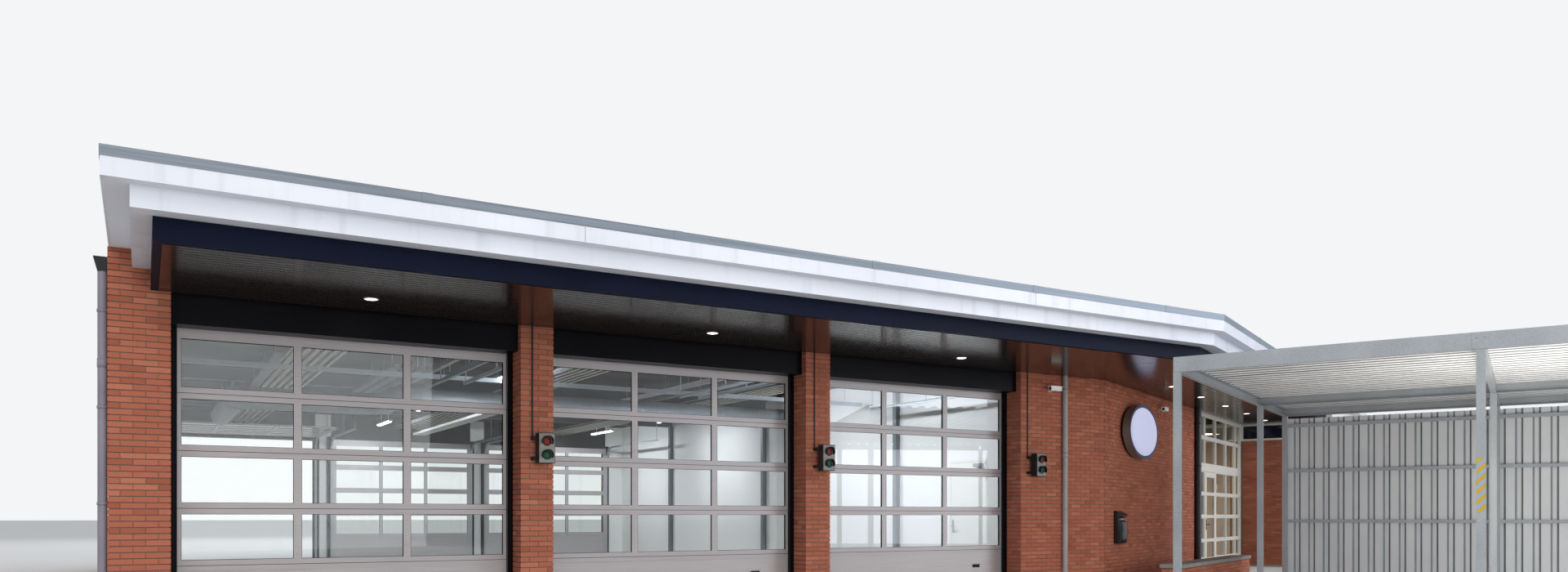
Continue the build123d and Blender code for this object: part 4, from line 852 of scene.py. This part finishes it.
class STATION_OT_eaves(bpy.types.Operator):
    """Finishes the stepped eaves and adds soffit boards, trim laps, board joints and lamps"""

    bl_idname = "station.eaves"
    bl_label = "Finish eaves"

    def execute(self, context):
        sizes = context.scene.station_sizes
        coat("board", "upper_fascia", "lower_fascia", "eaves_boxes")
        coat("trim", "roof_trim")
        coat("beam", "eaves_beam")
        coat("soffit", "soffit")
        corners = roof_corners()
        trim_low, trim_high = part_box("roof_trim")
        board_low, board_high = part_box("upper_fascia")
        nose, tail, proud, lap = board_low.y - trim_low.y, 0.052, 0.0025, 0.10
        size = (lap, nose + tail + proud, trim_high.z - trim_low.z + proud)
        laps = along_edges(corners, sizes.trim_length, sizes.trim_length, (nose + proud - tail) / 2,
                           trim_low.z + size[2] / 2)
        small_parts("trim_laps", "plate", laps, size, "trim")
        wide, depth, proud, short = 0.003, 0.011, 0.001, 0.006
        joints = along_edges(corners, sizes.fascia_length, sizes.fascia_length * 2 / 3, proud - depth / 2,
                             (board_low.z + board_high.z) / 2)
        size = (wide, depth, board_high.z - board_low.z - short)
        small_parts("board_joints", "plate", joints, size, "rubber")
        self.soffit_boards(sizes)
        self.downlights()
        return {"FINISHED"}

    def soffit_boards(self, sizes):
        """Boards with open joints under the soffit, mitred where the wing turns."""
        low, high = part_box("soffit")
        corners = points_of("soffit")
        edge = [TO_WING @ point for point in corners]
        wing_end = max(point.x for point in edge)
        over_wing = -min(point.y for point in edge if point.x > SIGN_WALL[1].x)
        right = max(point.x for point in corners if point.y > REAR - 0.1)
        mitre, proud, sunk = math.tan(WING_TURN / 2), 0.003, 0.001
        bm = bmesh.new()

        def lay(reach, plan, ends, out):
            half_joint = sizes.soffit_joint / 2
            for number in range(math.ceil(reach / sizes.soffit_board)):
                near = number * sizes.soffit_board + half_joint
                far = min(reach, (number + 1) * sizes.soffit_board - half_joint)
                spots = [(end(away), out(away)) for end, away in zip(ends, (near, far, far, near))]
                skin_in(bm, [[plan @ Vector((*spot, z)) for spot in spots]
                             for z in (low.z - proud, low.z + sunk)], closed=True, caps=True)

        def at_left(away):
            return low.x

        def at_bend(away):
            return BEND + (min(away, over_wing) - away * math.cos(WING_TURN)) / math.sin(WING_TURN)

        lay(FRONT - low.y, Matrix(), (at_left, at_left, at_bend, at_bend), lambda away: FRONT - away)
        lay(high.y - REAR, Matrix(), (at_left, at_left, lambda away: right, lambda away: right),
            lambda away: REAR + away)
        lay(over_wing, WING, [lambda away: -away * mitre] * 2 + [lambda away: wing_end] * 2,
            lambda away: -away)
        piece("soffit_boards", bm, "soffit")

    def downlights(self):
        """Round lamps in place of the flat solids: a rolled ring with a lens inside."""
        profile = ((0.058, 0.0), (0.058, -0.005), (0.061, -0.008), (0.071, -0.008), (0.075, -0.0036),
                   (0.075, 0.0))
        lens_radius, lens_drop = 0.0585, 0.004
        bm = bmesh.new()
        for lamp in clusters(points_of("downlights"), 0.3):
            centre = sum(lamp, Vector()) / len(lamp)
            centre.z = max(point.z for point in lamp)
            skin_in(bm, [circle_points(centre + UP * drop, radius, 40, up=Vector((0, 1, 0)))
                         for radius, drop in profile], closed=True, smooth=True)
            tube_in(bm, centre, centre - UP * lens_drop, lens_radius, 40, 1)
        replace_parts(piece("downlight_lamps", bm, "shell down_light"), "downlights")


# Doors


def strips_in(bm, span, place, depth, width=0.004):
    """Four strips round a pane on the face of its frame."""
    (left, right), (foot, head) = span
    for x0, x1, z0, z1 in (
        (left, right, foot, foot + width), (left, right, head - width, head),
        (left, left + width, foot + width, head - width), (right - width, right, foot + width, head - width),
    ):
        box_in(bm, (x0, depth[0], z0), (x1, depth[1], z1), place)


def panes_of(node, to_local=Matrix()):
    """Spans of a node's separate panes in local coordinates: along and up, and through the glass."""
    bm = bmesh.new()
    bm.from_mesh(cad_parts[node].data)
    bmesh.ops.remove_doubles(bm, verts=bm.verts, dist=1e-5)
    left = set(bm.verts)
    spans = []
    while left:
        stack, found = [left.pop()], []
        while stack:
            vert = stack.pop()
            found.append(to_local @ vert.co)
            linked = {edge.other_vert(vert) for edge in vert.link_edges} & left
            left -= linked
            stack.extend(linked)
        low, high = limits(found)
        spans.append((((low.x, high.x), (low.z, high.z)), (low.y, high.y)))
    bm.free()
    return sorted(spans)


class STATION_OT_sectional_doors(bpy.types.Operator):
    """Finishes the sectional doors and adds gaskets, rail profiles, seals and hinges"""

    bl_idname = "station.sectional_doors"
    bl_label = "Finish sectional doors"

    def execute(self, context):
        coat("rails", "front_door_leaves", "rear_door_leaves")
        coat("glass", "front_door_glass", "rear_door_glass")
        coat("panel", "door_panels")
        coat("header", "door_headers", "door_portals")
        coat("zinc", "door_tracks")
        low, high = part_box("front_door_leaves")
        rear_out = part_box("rear_door_leaves")[1].y
        rear_in = rear_out - (high.y - low.y)
        lip, lap, least_pane = 0.010, 0.001, 0.1
        bm = bmesh.new()
        for node in ("front_door_glass", "rear_door_glass"):
            for span, (outer, inner) in panes_of(node):
                if span[1][1] - span[1][0] > least_pane:
                    strips_in(bm, span, Matrix(), (outer - lip, outer + lap))
                    strips_in(bm, span, Matrix(), (inner - lap, inner + lip))
        faces = [(low.y, -1, JAMBS), (rear_out, 1, JAMBS[1:])]
        seal_inset, seal_proud, seal_height = 0.07, 0.003, 0.03
        for face, out, doors in faces:
            near, far = sorted((face, face + out * seal_proud))
            for left, right in doors:
                box_in(bm, (left + seal_inset, near, FLOOR), (right - seal_inset, far, FLOOR + seal_height))
        piece("door_gaskets", bm, "rubber")
        self.rail_profiles(faces)
        self.hinges(((high.y, 1, JAMBS), (rear_in, -1, JAMBS[1:])))
        self.covers(low.y)
        return {"FINISHED"}

    def rail_profiles(self, faces):
        """Raised lines of the rails above and below each joint, and the dark joint between sections."""
        bm = bmesh.new()
        lines = ((0.0, 0.005, 0.0006, 1), (-0.028, 0.012, 0.003, 0), (0.028, 0.012, 0.003, 0),
                 (-0.053, 0.006, 0.002, 0), (0.053, 0.006, 0.002, 0))
        for face, out, doors in faces:
            for left, right in doors:
                for joint in SECTION_JOINTS:
                    for off, height, proud, index in lines:
                        depth = sorted((face, face + out * proud))
                        box_in(bm, (left + LEAF_SIDE_GAP, depth[0], joint + off - height / 2),
                               (right - LEAF_SIDE_GAP, depth[1], joint + off + height / 2), index=index)
        piece("rail_profiles", bm, "rails rubber")

    def hinges(self, faces):
        """Hinge plates and their barrels on the inside of each leaf, at the section joints."""
        plate, plate_out = (0.06, 0.004, 0.10), 0.002
        barrel, barrel_out = (0.014, 0.014, 0.06), 0.008
        from_end, from_third = 0.06, 0.012
        plates, barrels = [], []
        along = Vector((1, 0, 0))
        for face, inward, doors in faces:
            for left, right in doors:
                half = (right - left) / 2 - LEAF_SIDE_GAP
                end, third = half - from_end, half / 3 - from_third
                for offset in (end, third, -third, -end):
                    for joint in SECTION_JOINTS:
                        spot = Vector(((left + right) / 2 + offset, face, joint))
                        plates.append((spot + Vector((0, inward * plate_out, 0)), along))
                        barrels.append((spot + Vector((0, inward * barrel_out, 0)), along))
        small_parts("hinge_plates", "plate", plates, plate, "zinc")
        small_parts("hinge_barrels", "rod", barrels, barrel, "zinc")

    def covers(self, face):
        """Small dark covers low on the closed panels."""
        from_middle, wide, proud, foot, head = 1.15, 0.14, 0.004, 0.42, 0.47
        bm = bmesh.new()
        for left, right in JAMBS:
            start = (left + right) / 2 + from_middle
            box_in(bm, (start, face - proud, foot), (start + wide, face, head))
        piece("panel_covers", bm, "rubber")


class STATION_OT_entrance(bpy.types.Operator):
    """Finishes the entrance wall, its leaf and the hall's inner door"""

    bl_idname = "station.entrance"
    bl_label = "Finish entrance"

    def execute(self, context):
        coat("window", "entrance_frame", "entrance_leaf", "clerestory_frame", "hall_door_frame",
             "hall_door_leaf")
        coat("glass", "entrance_glass", "entrance_leaf_glass")
        coat("dark_glass", "clerestory_glass")
        coat("housing", "entrance_handle")
        coat("brushed", "hall_door_fittings")
        bead_depth, bead_width = 0.016, 0.014
        for node, name, body in (("entrance_glass", "entrance_beads", STATION),
                                 ("entrance_leaf_glass", "entrance_leaf_beads", LEAF)):
            bm = bmesh.new()
            for span, (outer, inner) in panes_of(node, TO_WING):
                for depth in ((outer - bead_depth, outer), (inner, inner + bead_depth)):
                    strips_in(bm, span, WING, depth, bead_width)
            piece(name, bm, "window", body)
        return {"FINISHED"}


# Services


class STATION_OT_services(bpy.types.Operator):
    """Finishes pipes, signals, cameras, sign and letter box"""

    bl_idname = "station.services"
    bl_label = "Finish services"

    def execute(self, context):
        coat("black", "wing_pipe")
        coat("housing", "signals")
        coat("shell", "cameras")
        # the sign box takes the brown painted reflection on its returns
        coat("sign_side", "sign_box")
        self.pipes()
        self.signals()
        self.cameras()
        self.sign()
        self.letter_box()
        return {"FINISHED"}

    def pipes(self):
        """Faded pipes with a dark hopper, and bands and sockets round them."""
        radius, gap, from_corner, hopper = 0.043, 0.008, 0.06, 3.655
        finishes = "left_pipe right_pipe black"
        faced_copy("downpipes", finishes,
                   lambda centre, normal: 1 if centre.x > 0 else 2 if centre.z > hopper else 0)
        bm = bmesh.new()
        left = (LEFT - radius - gap, FRONT + from_corner)
        right = (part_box("downpipes")[1].x - radius, FRONT - radius - gap)
        low, high = span_in_wing("wing_pipe")
        corner = (WING @ ((low + high) / 2)).xy
        bands, band, socket = (1.353, 2.313, 3.273), (0.03, 0.006), (0.09, 0.004)
        for spot, inner, heights, (height, proud), index in (
            (left, radius, bands, band, 0), (left, radius, (2.75,), socket, 0),
            (right, radius, bands, band, 1), (right, radius, (2.22, 0.34), socket, 1),
            (corner, (high.x - low.x) / 2, (0.9, 2.3, 3.2), band, 2),
        ):
            for z in heights:
                tube_in(bm, (*spot, z - height / 2), (*spot, z + height / 2), inner + proud, 40, index)
        piece("pipe_bands", bm, finishes)

    def signals(self):
        """Front plate, two domed lenses and their hoods on each signal."""
        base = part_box("signals")[0].z
        beside, out, rise = 0.25, 0.203, 0.18
        half, plate = Vector((0.094, 0, 0.174)), Vector((0, 0.004, 0))
        lens_rise, lens_radius, hood_radius = 0.0825, 0.058, 0.066
        bm = bmesh.new()
        for _, right in JAMBS:
            face = Vector((right + beside, FRONT - out, base + rise))
            box_in(bm, face - half, face + half + plate)
            for side, index in ((1, 1), (-1, 2)):
                centre = face + UP * side * lens_rise
                self.lens(bm, centre, lens_radius, index)
                self.hood(bm, centre, hood_radius, 3)
        piece("signal_faces", bm, "signal_plate lens_red lens_green housing")

    def lens(self, bm, centre, radius, index):
        """Domed lens that looks out of the wall."""
        rings, bulge = 5, 0.016
        rows = []
        for share in (ring / rings for ring in range(1, rings + 1)):
            middle = centre - Vector((0, bulge * (1 - share * share), 0))
            rows.append(circle_points(middle, radius * share, 28))
        skin_in(bm, rows, index, closed=True, smooth=True, caps=True)

    def hood(self, bm, centre, radius, index):
        """Half tube over a lens, longest at its top."""
        steps, wall, at_sides, more_on_top = 20, 0.003, 0.03, 0.035
        rows = []
        for angle in (math.pi * step / steps for step in range(steps + 1)):
            reach = at_sides + more_on_top * math.sin(angle)
            rows.append([centre + Vector((around * math.cos(angle), -out, around * math.sin(angle)))
                         for around, out in ((radius, 0), (radius, reach), (radius - wall, reach),
                                             (radius - wall, 0))])
        skin_in(bm, rows, index, closed=True, caps=True)

    def cameras(self):
        """Sunshield and dark window on each camera."""
        shield = ((-0.125, -0.166, 0.032), (0.135, -0.084, 0.038))
        window = ((-0.1165, -0.148, -0.025), (-0.1145, -0.102, 0.025))
        sensor = ((-0.03, -0.1615, -0.036), (0, -0.14, -0.0345))
        bm = bmesh.new()
        for place, line in ((Matrix.Translation((LEFT, FRONT, 0)), 12.845), (WING, 3.2)):
            middle = Vector((line, 0, 3.275))
            for (low, high), index in ((shield, 0), (window, 1), (sensor, 1)):
                box_in(bm, middle + Vector(low), middle + Vector(high), place, index)
        piece("camera_shields", bm, "shell rubber")

    def sign(self):
        """Opal face with a dark blue rim on the oval light box."""
        low, high = span_in_wing("sign_box")
        centre = Vector(((low.x + high.x) / 2, low.y, (low.z + high.z) / 2))
        half_x, half_z = (high.x - low.x) / 2, (high.z - low.z) / 2
        sides = 96
        turns = [2 * math.pi * step / sides for step in range(sides)]
        rims = ((0.0, 0.0), (-0.005, -0.006), (0.013, -0.008), (0.047, -0.008), (0.052, -0.004),
                (0.2, -0.004))
        bm = bmesh.new()
        skin_in(bm, [[WING @ (centre + Vector(((half_x - inset) * math.cos(turn), out,
                                               (half_z - inset) * math.sin(turn)))) for turn in turns]
                     for inset, out in rims], 1, closed=True, smooth=True)
        bm.faces.new(list(bm.verts)[-sides:])
        for face in list(bm.faces)[-sides - 1 :]:
            face.material_index = 0
        bm.normal_update()
        for face in bm.faces:
            if face.normal.y > 0:
                face.normal_flip()
        front = mesh_from("sign_front", bm, turn=False)
        piece("sign_front", front, "sign_face sign_edge")

    def letter_box(self):
        """Cast letter box in place of the solid: a hood over the slot, a swelling body and round edges."""
        low, high = span_in_wing("letter_box")
        middle, half = (low.x + high.x) / 2, (high.x - low.x) / 2
        reach, height = high.y - low.y, high.z - low.z
        profile = (
            (0, 1), (0.3, 0.99), (0.55, 0.955), (0.8, 0.915), (0.97, 0.872), (1, 0.85), (0.97, 0.835),
            (0.74, 0.8), (0.62, 0.77), (0.60, 0.745), (0.64, 0.71), (0.78, 0.672), (0.9, 0.655), (0.95, 0.63),
            (1, 0.5), (0.99, 0.35), (0.96, 0.15), (0.9, 0.05), (0.8, 0.01), (0.7, 0), (0, 0),
        )
        columns = ((-1, 0.86), (-0.985, 0.93), (-0.95, 0.97), (-0.86, 0.99), (-0.6, 1), (0, 1.0))
        columns += tuple((-across, share) for across, share in columns[-2::-1])
        bm = bmesh.new()
        skin_in(bm, [[WING @ Vector((middle + half * across, high.y - reach * share * out,
                                     low.z + height * up)) for out, up in profile]
                     for across, share in columns], closed=True, caps=True)
        half_slot, slot_out, slot_up = 0.11, (0.7, 0.55), (0.72, 0.76)
        slot = [Vector((middle + side * half_slot, high.y - reach * out, low.z + height * up))
                for side, out, up in zip((-1, 1), slot_out, slot_up)]
        box_in(bm, *slot, WING, 1)
        lock_radius, lock_depth, lock_inset, lock_up = 0.011, 0.003, 0.004, 0.42
        lock = Vector((middle, low.y + lock_inset, low.z + height * lock_up))
        tube_in(bm, WING @ lock, WING @ (lock - Vector((0, lock_depth, 0))), lock_radius, 20, 1)
        cast = mesh_from("letter_box_cast", bm, 28)
        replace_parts(piece("letter_box_cast", cast, "black brushed"), "letter_box")


# Hall interior


class STATION_OT_interior(bpy.types.Operator):
    """Finishes ceiling strips, luminaires, steel frames and the spiral duct"""

    bl_idname = "station.interior"
    bl_label = "Finish interior"

    def execute(self, context):
        coat("steel", "steel_frames")
        # the ribs' side faces take the painted shade finish
        faced_copy("ceiling_strips", "strip strip_side", lambda centre, normal: abs(normal.x) > 0.5)
        faced_copy("luminaires", "shell tube_light", lambda centre, normal: normal.z < -0.3)
        self.duct(context.scene.station_sizes.seam_pitch)
        return {"FINISHED"}

    def duct(self, pitch):
        """Round duct with its lock seam and segmented bends, on the solid's route."""
        low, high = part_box("duct")
        radius, bend, steps, sides, cuff = 0.2, 0.4, 4, 40, 0.006
        first_turn, second_line = -2.90, -0.44
        left, front, z = low + Vector((radius, radius, radius))
        stops = [Vector((*stop, z)) for stop in (
            (high.x, front), (first_turn, front), (first_turn, second_line), (left, second_line),
            (left, high.y))]
        route = [stops[0]]
        for before, corner, after in zip(stops, stops[1:], stops[2:]):
            arriving, leaving = (corner - before).normalized(), (after - corner).normalized()
            centre = corner - arriving * bend + leaving * bend
            for angle in (math.radians(90 * step / steps) for step in range(steps + 1)):
                route.append(centre + (arriving * math.sin(angle) - leaving * math.cos(angle)) * bend)
        route.append(stops[-1])
        bm = bmesh.new()
        rows = []
        for index, point in enumerate(route):
            before = (point - route[max(index, 1) - 1]).normalized() if index else None
            after = (route[index + 1] - point).normalized() if index + 1 < len(route) else None
            side = ((before or after) + (after or before)).normalized().cross(UP)
            stretch = 1.0 if not before or not after else 1.0 / math.cos(before.angle(after) / 2)
            rows.append(circle_points(point, radius, sides, side * stretch))
        skin_in(bm, rows, closed=True, smooth=True, caps=True)
        for start, end in zip(route[:: steps + 1], route[1 :: steps + 1]):
            self.seam(bm, start, end, radius, pitch)
        for before, point, after in zip(route, route[1:], route[2:]):
            ahead = (after - before).normalized() * cuff
            tube_in(bm, point - ahead, point + ahead, radius + cuff, sides)
        above_duct, strap_reach, strap_sunk = 0.02, 0.06, 0.01
        hung = [point for point in points_of("duct") if point.z > z + radius + above_duct]
        for strap_low, strap_high in map(limits, clusters(hung, strap_reach)):
            box_in(bm, (*strap_low.xy, z + radius - strap_sunk), strap_high)
        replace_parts(piece("spiral_duct", bm, "zinc"), "duct")

    def seam(self, bm, start, end, radius, pitch):
        """Lock seam round a straight duct."""
        ahead = (end - start).normalized()
        side = ahead.cross(UP)
        per_turn, half, proud, sunk = 20, 0.004, 0.003, 0.003
        rows = []
        for step in range(int((end - start).length / pitch * per_turn) + 1):
            angle = 2 * math.pi * step / per_turn
            out = side * math.cos(angle) + UP * math.sin(angle)
            middle = start + ahead * (pitch * step / per_turn)
            rows.append([middle + out * (radius + rise) + ahead * off for rise, off in
                         ((-sunk, -half), (proud, -half), (proud, half), (-sunk, half))])
        skin_in(bm, rows)


class STATION_OT_ceiling_services(bpy.types.Operator):
    """Hangs the cable channel, pipes, rails and tray under the hall's roof"""

    bl_idname = "station.ceiling_services"
    bl_label = "Hang ceiling services"

    def execute(self, context):
        deck, rod_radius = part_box("roof_deck")[0].z, 0.006
        rods = bmesh.new()

        def hang(z, across, along):
            for y in along:
                for x in across:
                    tube_in(rods, (x, y, z), (x, y, deck), rod_radius, 8)

        bm = bmesh.new()
        line, z, sheet, half, side = -4.0, 3.43, 0.003, 0.05, 0.07
        start, end = LEFT + 0.35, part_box("hall_wall_rear")[0].x - 0.1
        inside = half - sheet
        for low, high, rise in ((-half, -inside, side), (inside, half, side), (-inside, inside, sheet)):
            box_in(bm, (start, line + low, z), (end, line + high, z + rise))
        hang(z + 0.05, (-4.7, -2.6, -0.7, 1.3, 3.3, 5.2), (line,))
        z, clip, first_clip, clip_pitch = 3.60, 0.006, 0.4, 1.8
        for x, radius, near, far, clips in ((-3.30, 0.055, -3.9, 1.9, 3), (-3.10, 0.055, -3.9, 1.9, 3),
                                            (-2.90, 0.055, -3.9, 1.9, 3), (-5.03, 0.06, -4.1, 3.6, 5)):
            tube_in(bm, (x, near, z), (x, far, z), radius, 24)
            for y in (near + first_clip + clip_pitch * number for number in range(clips)):
                tube_in(bm, (x, y - 0.015, z), (x, y + 0.015, z), radius + clip, 24)
                hang(z, (x,), (y,))
        piece("ceiling_pipes", bm, "zinc")
        bm = bmesh.new()
        near, far, z, half, high, lip = -5.9, 2.4, 3.535, 0.04, 0.08, 0.004
        for x in (-2.77, -2.36, 1.65, 2.05):
            box_in(bm, (x - half, near, z), (x + half, far, z + high))
            for edge in (x - half, x + half):
                box_in(bm, (edge - lip, near, z + high / 4), (edge + lip, far, z + high * 3 / 4))
            hang(z + high, (x,), (-5.4, -3.4, -1.4, 0.6))
        piece("hose_rails", bm, "rails")
        bm = bmesh.new()
        low, high, near, far, z = -0.55, -0.25, 0.7, 8.0, 3.40
        side, half_sheet, rung_width, rung_pitch, rung_height = 0.06, 0.0015, 0.02, 0.05, 0.003
        for x in (low, high):
            box_in(bm, (x - half_sheet, near, z), (x + half_sheet, far, z + side))
        rung = near
        while rung < far:
            box_in(bm, (low, rung, z), (high, rung + rung_width, z + rung_height))
            rung += rung_pitch
        hang(z, (low, high), (1.2, 3.2, 5.6, 7.4))
        piece("cable_tray", bm, "shell")
        piece("hanger_rods", rods, "zinc")
        return {"FINISHED"}


# Carport


class STATION_OT_carport(bpy.types.Operator):
    """Finishes the carport and adds its plates, bolts, screws and tape"""

    bl_idname = "station.carport"
    bl_label = "Finish carport"

    def execute(self, context):
        sizes = context.scene.station_sizes
        coat("zinc", "carport_posts", "carport_beams", "carport_girts")
        # the sides of the roof's and wall's ribs take the painted shade finish
        faced_copy("carport_roof", "zinc_sheet rib_side",
                   lambda centre, normal: abs((SPIN_BACK @ normal).x) > 0.5)
        faced_copy("carport_wall", "sheet rib_side",
                   lambda centre, normal: abs((SPIN_BACK @ normal).y) > 0.5)
        centres = []
        for post in clusters(points_of("carport_posts"), 0.6):
            low, high = limits([TO_WING @ point for point in post])
            centres.append(Vector((*((low + high) / 2).xy, 0)))
        first, last = (pick(centre.x for centre in centres) for pick in (min, max))
        rows = sorted({round(centre.y, 1): centre.y for centre in centres}.values(), reverse=True)
        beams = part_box("carport_beams")
        bolts = self.post_bolts(centres, first, beams[0].z)
        bolts += self.plates(span_in_wing("carport_beams")[0].x, rows, beams)
        places = [(WING @ spot, SPIN @ facing) for spot, facing in bolts]
        small_parts("carport_bolts", "head", places, (sizes.bolt, sizes.bolt, 0.012), "zinc")
        self.screws(sizes, rows, first, last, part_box("carport_roof")[0].z)
        half, foot, head = Vector((0.0458, 0.0458, 0)), 1.27, 1.90
        bm = bmesh.new()
        box_in(bm, Vector((first, rows[1], foot)) - half, Vector((first, rows[1], head)) + half, WING)
        piece("post_tape", bm, "tape")
        return {"FINISHED"}

    def post_bolts(self, centres, front, beam_low):
        """Bolts through the base plates and through the webs behind the front beam."""
        corner, plate_top, web, near_front = 0.08, 0.021, 0.0415, 0.1
        bolts = []
        for centre in centres:
            bolts += [(centre + Vector((x, y, plate_top)), UP) for x in (-corner, corner)
                      for y in (-corner, corner)]
            if centre.x > front + near_front:
                bolts += [(centre + Vector((web, 0, beam_low + up)), Vector((1, 0, 0)))
                          for up in (0.04, 0.10)]
        return bolts

    def plates(self, face, rows, beams):
        """Corner and splice plates on the front beam's outer face; returns their bolts."""
        low, high = beams[0].z, beams[1].z
        thick, inset, narrow, wide, apart, head, share = 0.008, 0.004, 0.0425, 0.085, 0.038, 0.004, 0.28
        bm = bmesh.new()
        for middle, half in zip(rows, (narrow, wide, wide, narrow)):
            box_in(bm, (face - thick, middle - half, low + inset), (face, middle + half, high - inset), WING)
        piece("beam_plates", bm, "zinc")
        along = [rows[0], rows[-1]] + [row + off for row in rows[1:-1] for off in (-apart, apart)]
        height = high - share * (high - low)
        return [(Vector((face - thick - head, spot, height)), Vector((-1, 0, 0))) for spot in along]

    def screws(self, sizes, rows, first, last, top):
        """Screw tips along the beams under the roof and screws through the wall sheets."""
        spacing, beside, drop = sizes.screw_spacing, 0.015, 0.016
        tips = [(WING @ Vector((first + step * spacing, row - beside, top - drop)), -UP) for row in rows
                for step in range(1, int((last - first) // spacing))]
        small_parts("roof_screws", "head", tips, (0.007, 0.007, 0.02), "zinc")
        low, high = span_in_wing("carport_wall")
        pitch, half_valley, rib, girts = 2 * spacing, 0.065, 0.037, (1.14, 2.10, 2.96)
        count = int((high.y - low.y) // pitch)
        start = high.y - ((high.y - low.y) - count * pitch) / 2 - half_valley
        heads = [(WING @ Vector((high.x - rib, start - step * pitch, z)), SPIN @ Vector((1, 0, 0)))
                 for step in range(count) for z in girts]
        small_parts("wall_screws", "head", heads, (0.012, 0.012, 0.006), "zinc")


# Stage


class STATION_OT_stage(bpy.types.Operator):
    """Sets floor, lamps, world and the camera of the photograph"""

    bl_idname = "station.stage"
    bl_label = "Set stage"

    def execute(self, context):
        scene = context.scene
        half_floor, floor_drop = 400.0, 0.002
        bm = bmesh.new()
        bmesh.ops.create_grid(bm, x_segments=1, y_segments=1, size=half_floor)
        bmesh.ops.translate(bm, verts=bm.verts, vec=(0, 0, CAD_LOW.z - floor_drop))
        floor = bpy.data.objects.new("floor", mesh_from("floor", bm))
        scene.collection.objects.link(floor)
        pale = Finish("pale_floor", Roughness=0.9)
        floor.data.materials.append(pale.done((*linear("#d9d9d7"), 1)))
        self.world(scene)
        room, yard, yard_target = (WING @ Vector(spot) for spot in (
            (9.6, 3.2, 3.3), (-0.6, -7.0, 0.2), (1.0, -7.0, 3.3)))
        for name, spot, target, size, power, code in (
            ("key", (-22, -34, 26), (2, -4, 1), 18.0, 4300.0, "#fff6ea"),
            ("low", (-4, -38, 4), (8, -8, 2), 16.0, 3400.0, "#f6f7fb"),
            ("yard", yard, yard_target, 4.0, 330.0, "#fff6ea"),
            ("fill", (26, -30, 8), (8, -4, 1), 20.0, 4500.0, "#eef3ff"),
            ("back", (6, 38, 24), (2, 4, 1), 20.0, 4000.0, "#f2f5ff"),
            ("room", room, room - UP, 4.0, 260.0, "#fff0d6"),
        ):
            lamp = bpy.data.lights.new(name, "AREA")
            lamp.size, lamp.energy, lamp.color = size, power, linear(code)
            made = bpy.data.objects.new(name, lamp)
            made.location = spot
            made.rotation_euler = (Vector(target) - Vector(spot)).to_track_quat("-Z", "Y").to_euler()
            made.visible_camera = False
            made.visible_glossy = name not in ("low", "yard")
            scene.collection.objects.link(made)
        self.camera(scene)
        scene.view_settings.view_transform = "Standard"
        return {"FINISHED"}

    def world(self, scene):
        """Soft grey light, and a near white background for camera and glass rays."""
        world = bpy.data.worlds.new("studio")
        world.use_nodes = True
        scene.world = world
        tree = world.node_tree
        path = add(tree, "ShaderNodeLightPath").node.outputs
        seen = add(tree, MATH, path["Is Camera Ray"], path["Is Transmission Ray"], operation="MAXIMUM")
        soft = tree.nodes["Background"]
        soft.inputs["Color"].default_value = (*linear("#eef1f6"), 1)
        soft.inputs["Strength"].default_value = 0.75
        bright = add(tree, "ShaderNodeBackground", (*linear("#f4f5f7"), 1), 1.0)
        mixed = add(tree, "ShaderNodeMixShader", seen, soft.outputs[0], bright)
        tree.links.new(mixed, tree.nodes["World Output"].inputs["Surface"])

    def camera(self, scene):
        """Level camera with the horizon low in the 1920 by 700 picture."""
        picture_width, picture_height = 1920, 700
        focal_px, horizon_px = 1305.2, 632.3
        lens = bpy.data.cameras.new("photo_camera")
        lens.sensor_fit = "HORIZONTAL"
        lens.sensor_width = 36.0
        lens.lens = focal_px / picture_width * lens.sensor_width
        lens.shift_y = (horizon_px - picture_height / 2) / picture_width
        lens.clip_end = 500.0
        camera = bpy.data.objects.new("photo_camera", lens)
        camera.location = (-6.766, -21.535, 1.222)
        camera.rotation_euler = (math.radians(90), 0, -math.radians(31.07))
        scene.collection.objects.link(camera)
        scene.camera = camera


class STATION_PT_panel(bpy.types.Panel):
    """Lists the station's colours, sizes and pieces"""

    bl_label = "Ambulance station"
    bl_idname = "STATION_PT_panel"
    bl_space_type = "VIEW_3D"
    bl_region_type = "UI"
    bl_category = "Station"

    def draw(self, context):
        for operator in OPERATORS:
            self.layout.operator(operator.bl_idname)
        for group in (context.scene.station_sizes, context.scene.station_colours):
            for name in group.__annotations__:
                self.layout.prop(group, name)


OPERATORS = (
    STATION_OT_stage, STATION_OT_walls, STATION_OT_brickwork, STATION_OT_eaves,
    STATION_OT_sectional_doors, STATION_OT_entrance, STATION_OT_services, STATION_OT_interior,
    STATION_OT_ceiling_services, STATION_OT_carport,
)
CLASSES = (StationColours, StationSizes, *OPERATORS, STATION_PT_panel)


def register():
    for item in CLASSES:
        bpy.utils.register_class(item)
    bpy.types.Scene.station_colours = bpy.props.PointerProperty(type=StationColours)
    bpy.types.Scene.station_sizes = bpy.props.PointerProperty(type=StationSizes)


def unregister():
    del bpy.types.Scene.station_sizes
    del bpy.types.Scene.station_colours
    for item in reversed(CLASSES):
        bpy.utils.unregister_class(item)


def main():
    register()
    for operator in OPERATORS:
        group, name = operator.bl_idname.split(".")
        getattr(getattr(bpy.ops, group), name)()
    bpy.context.view_layer.update()


if __name__ == "__main__":
    main()
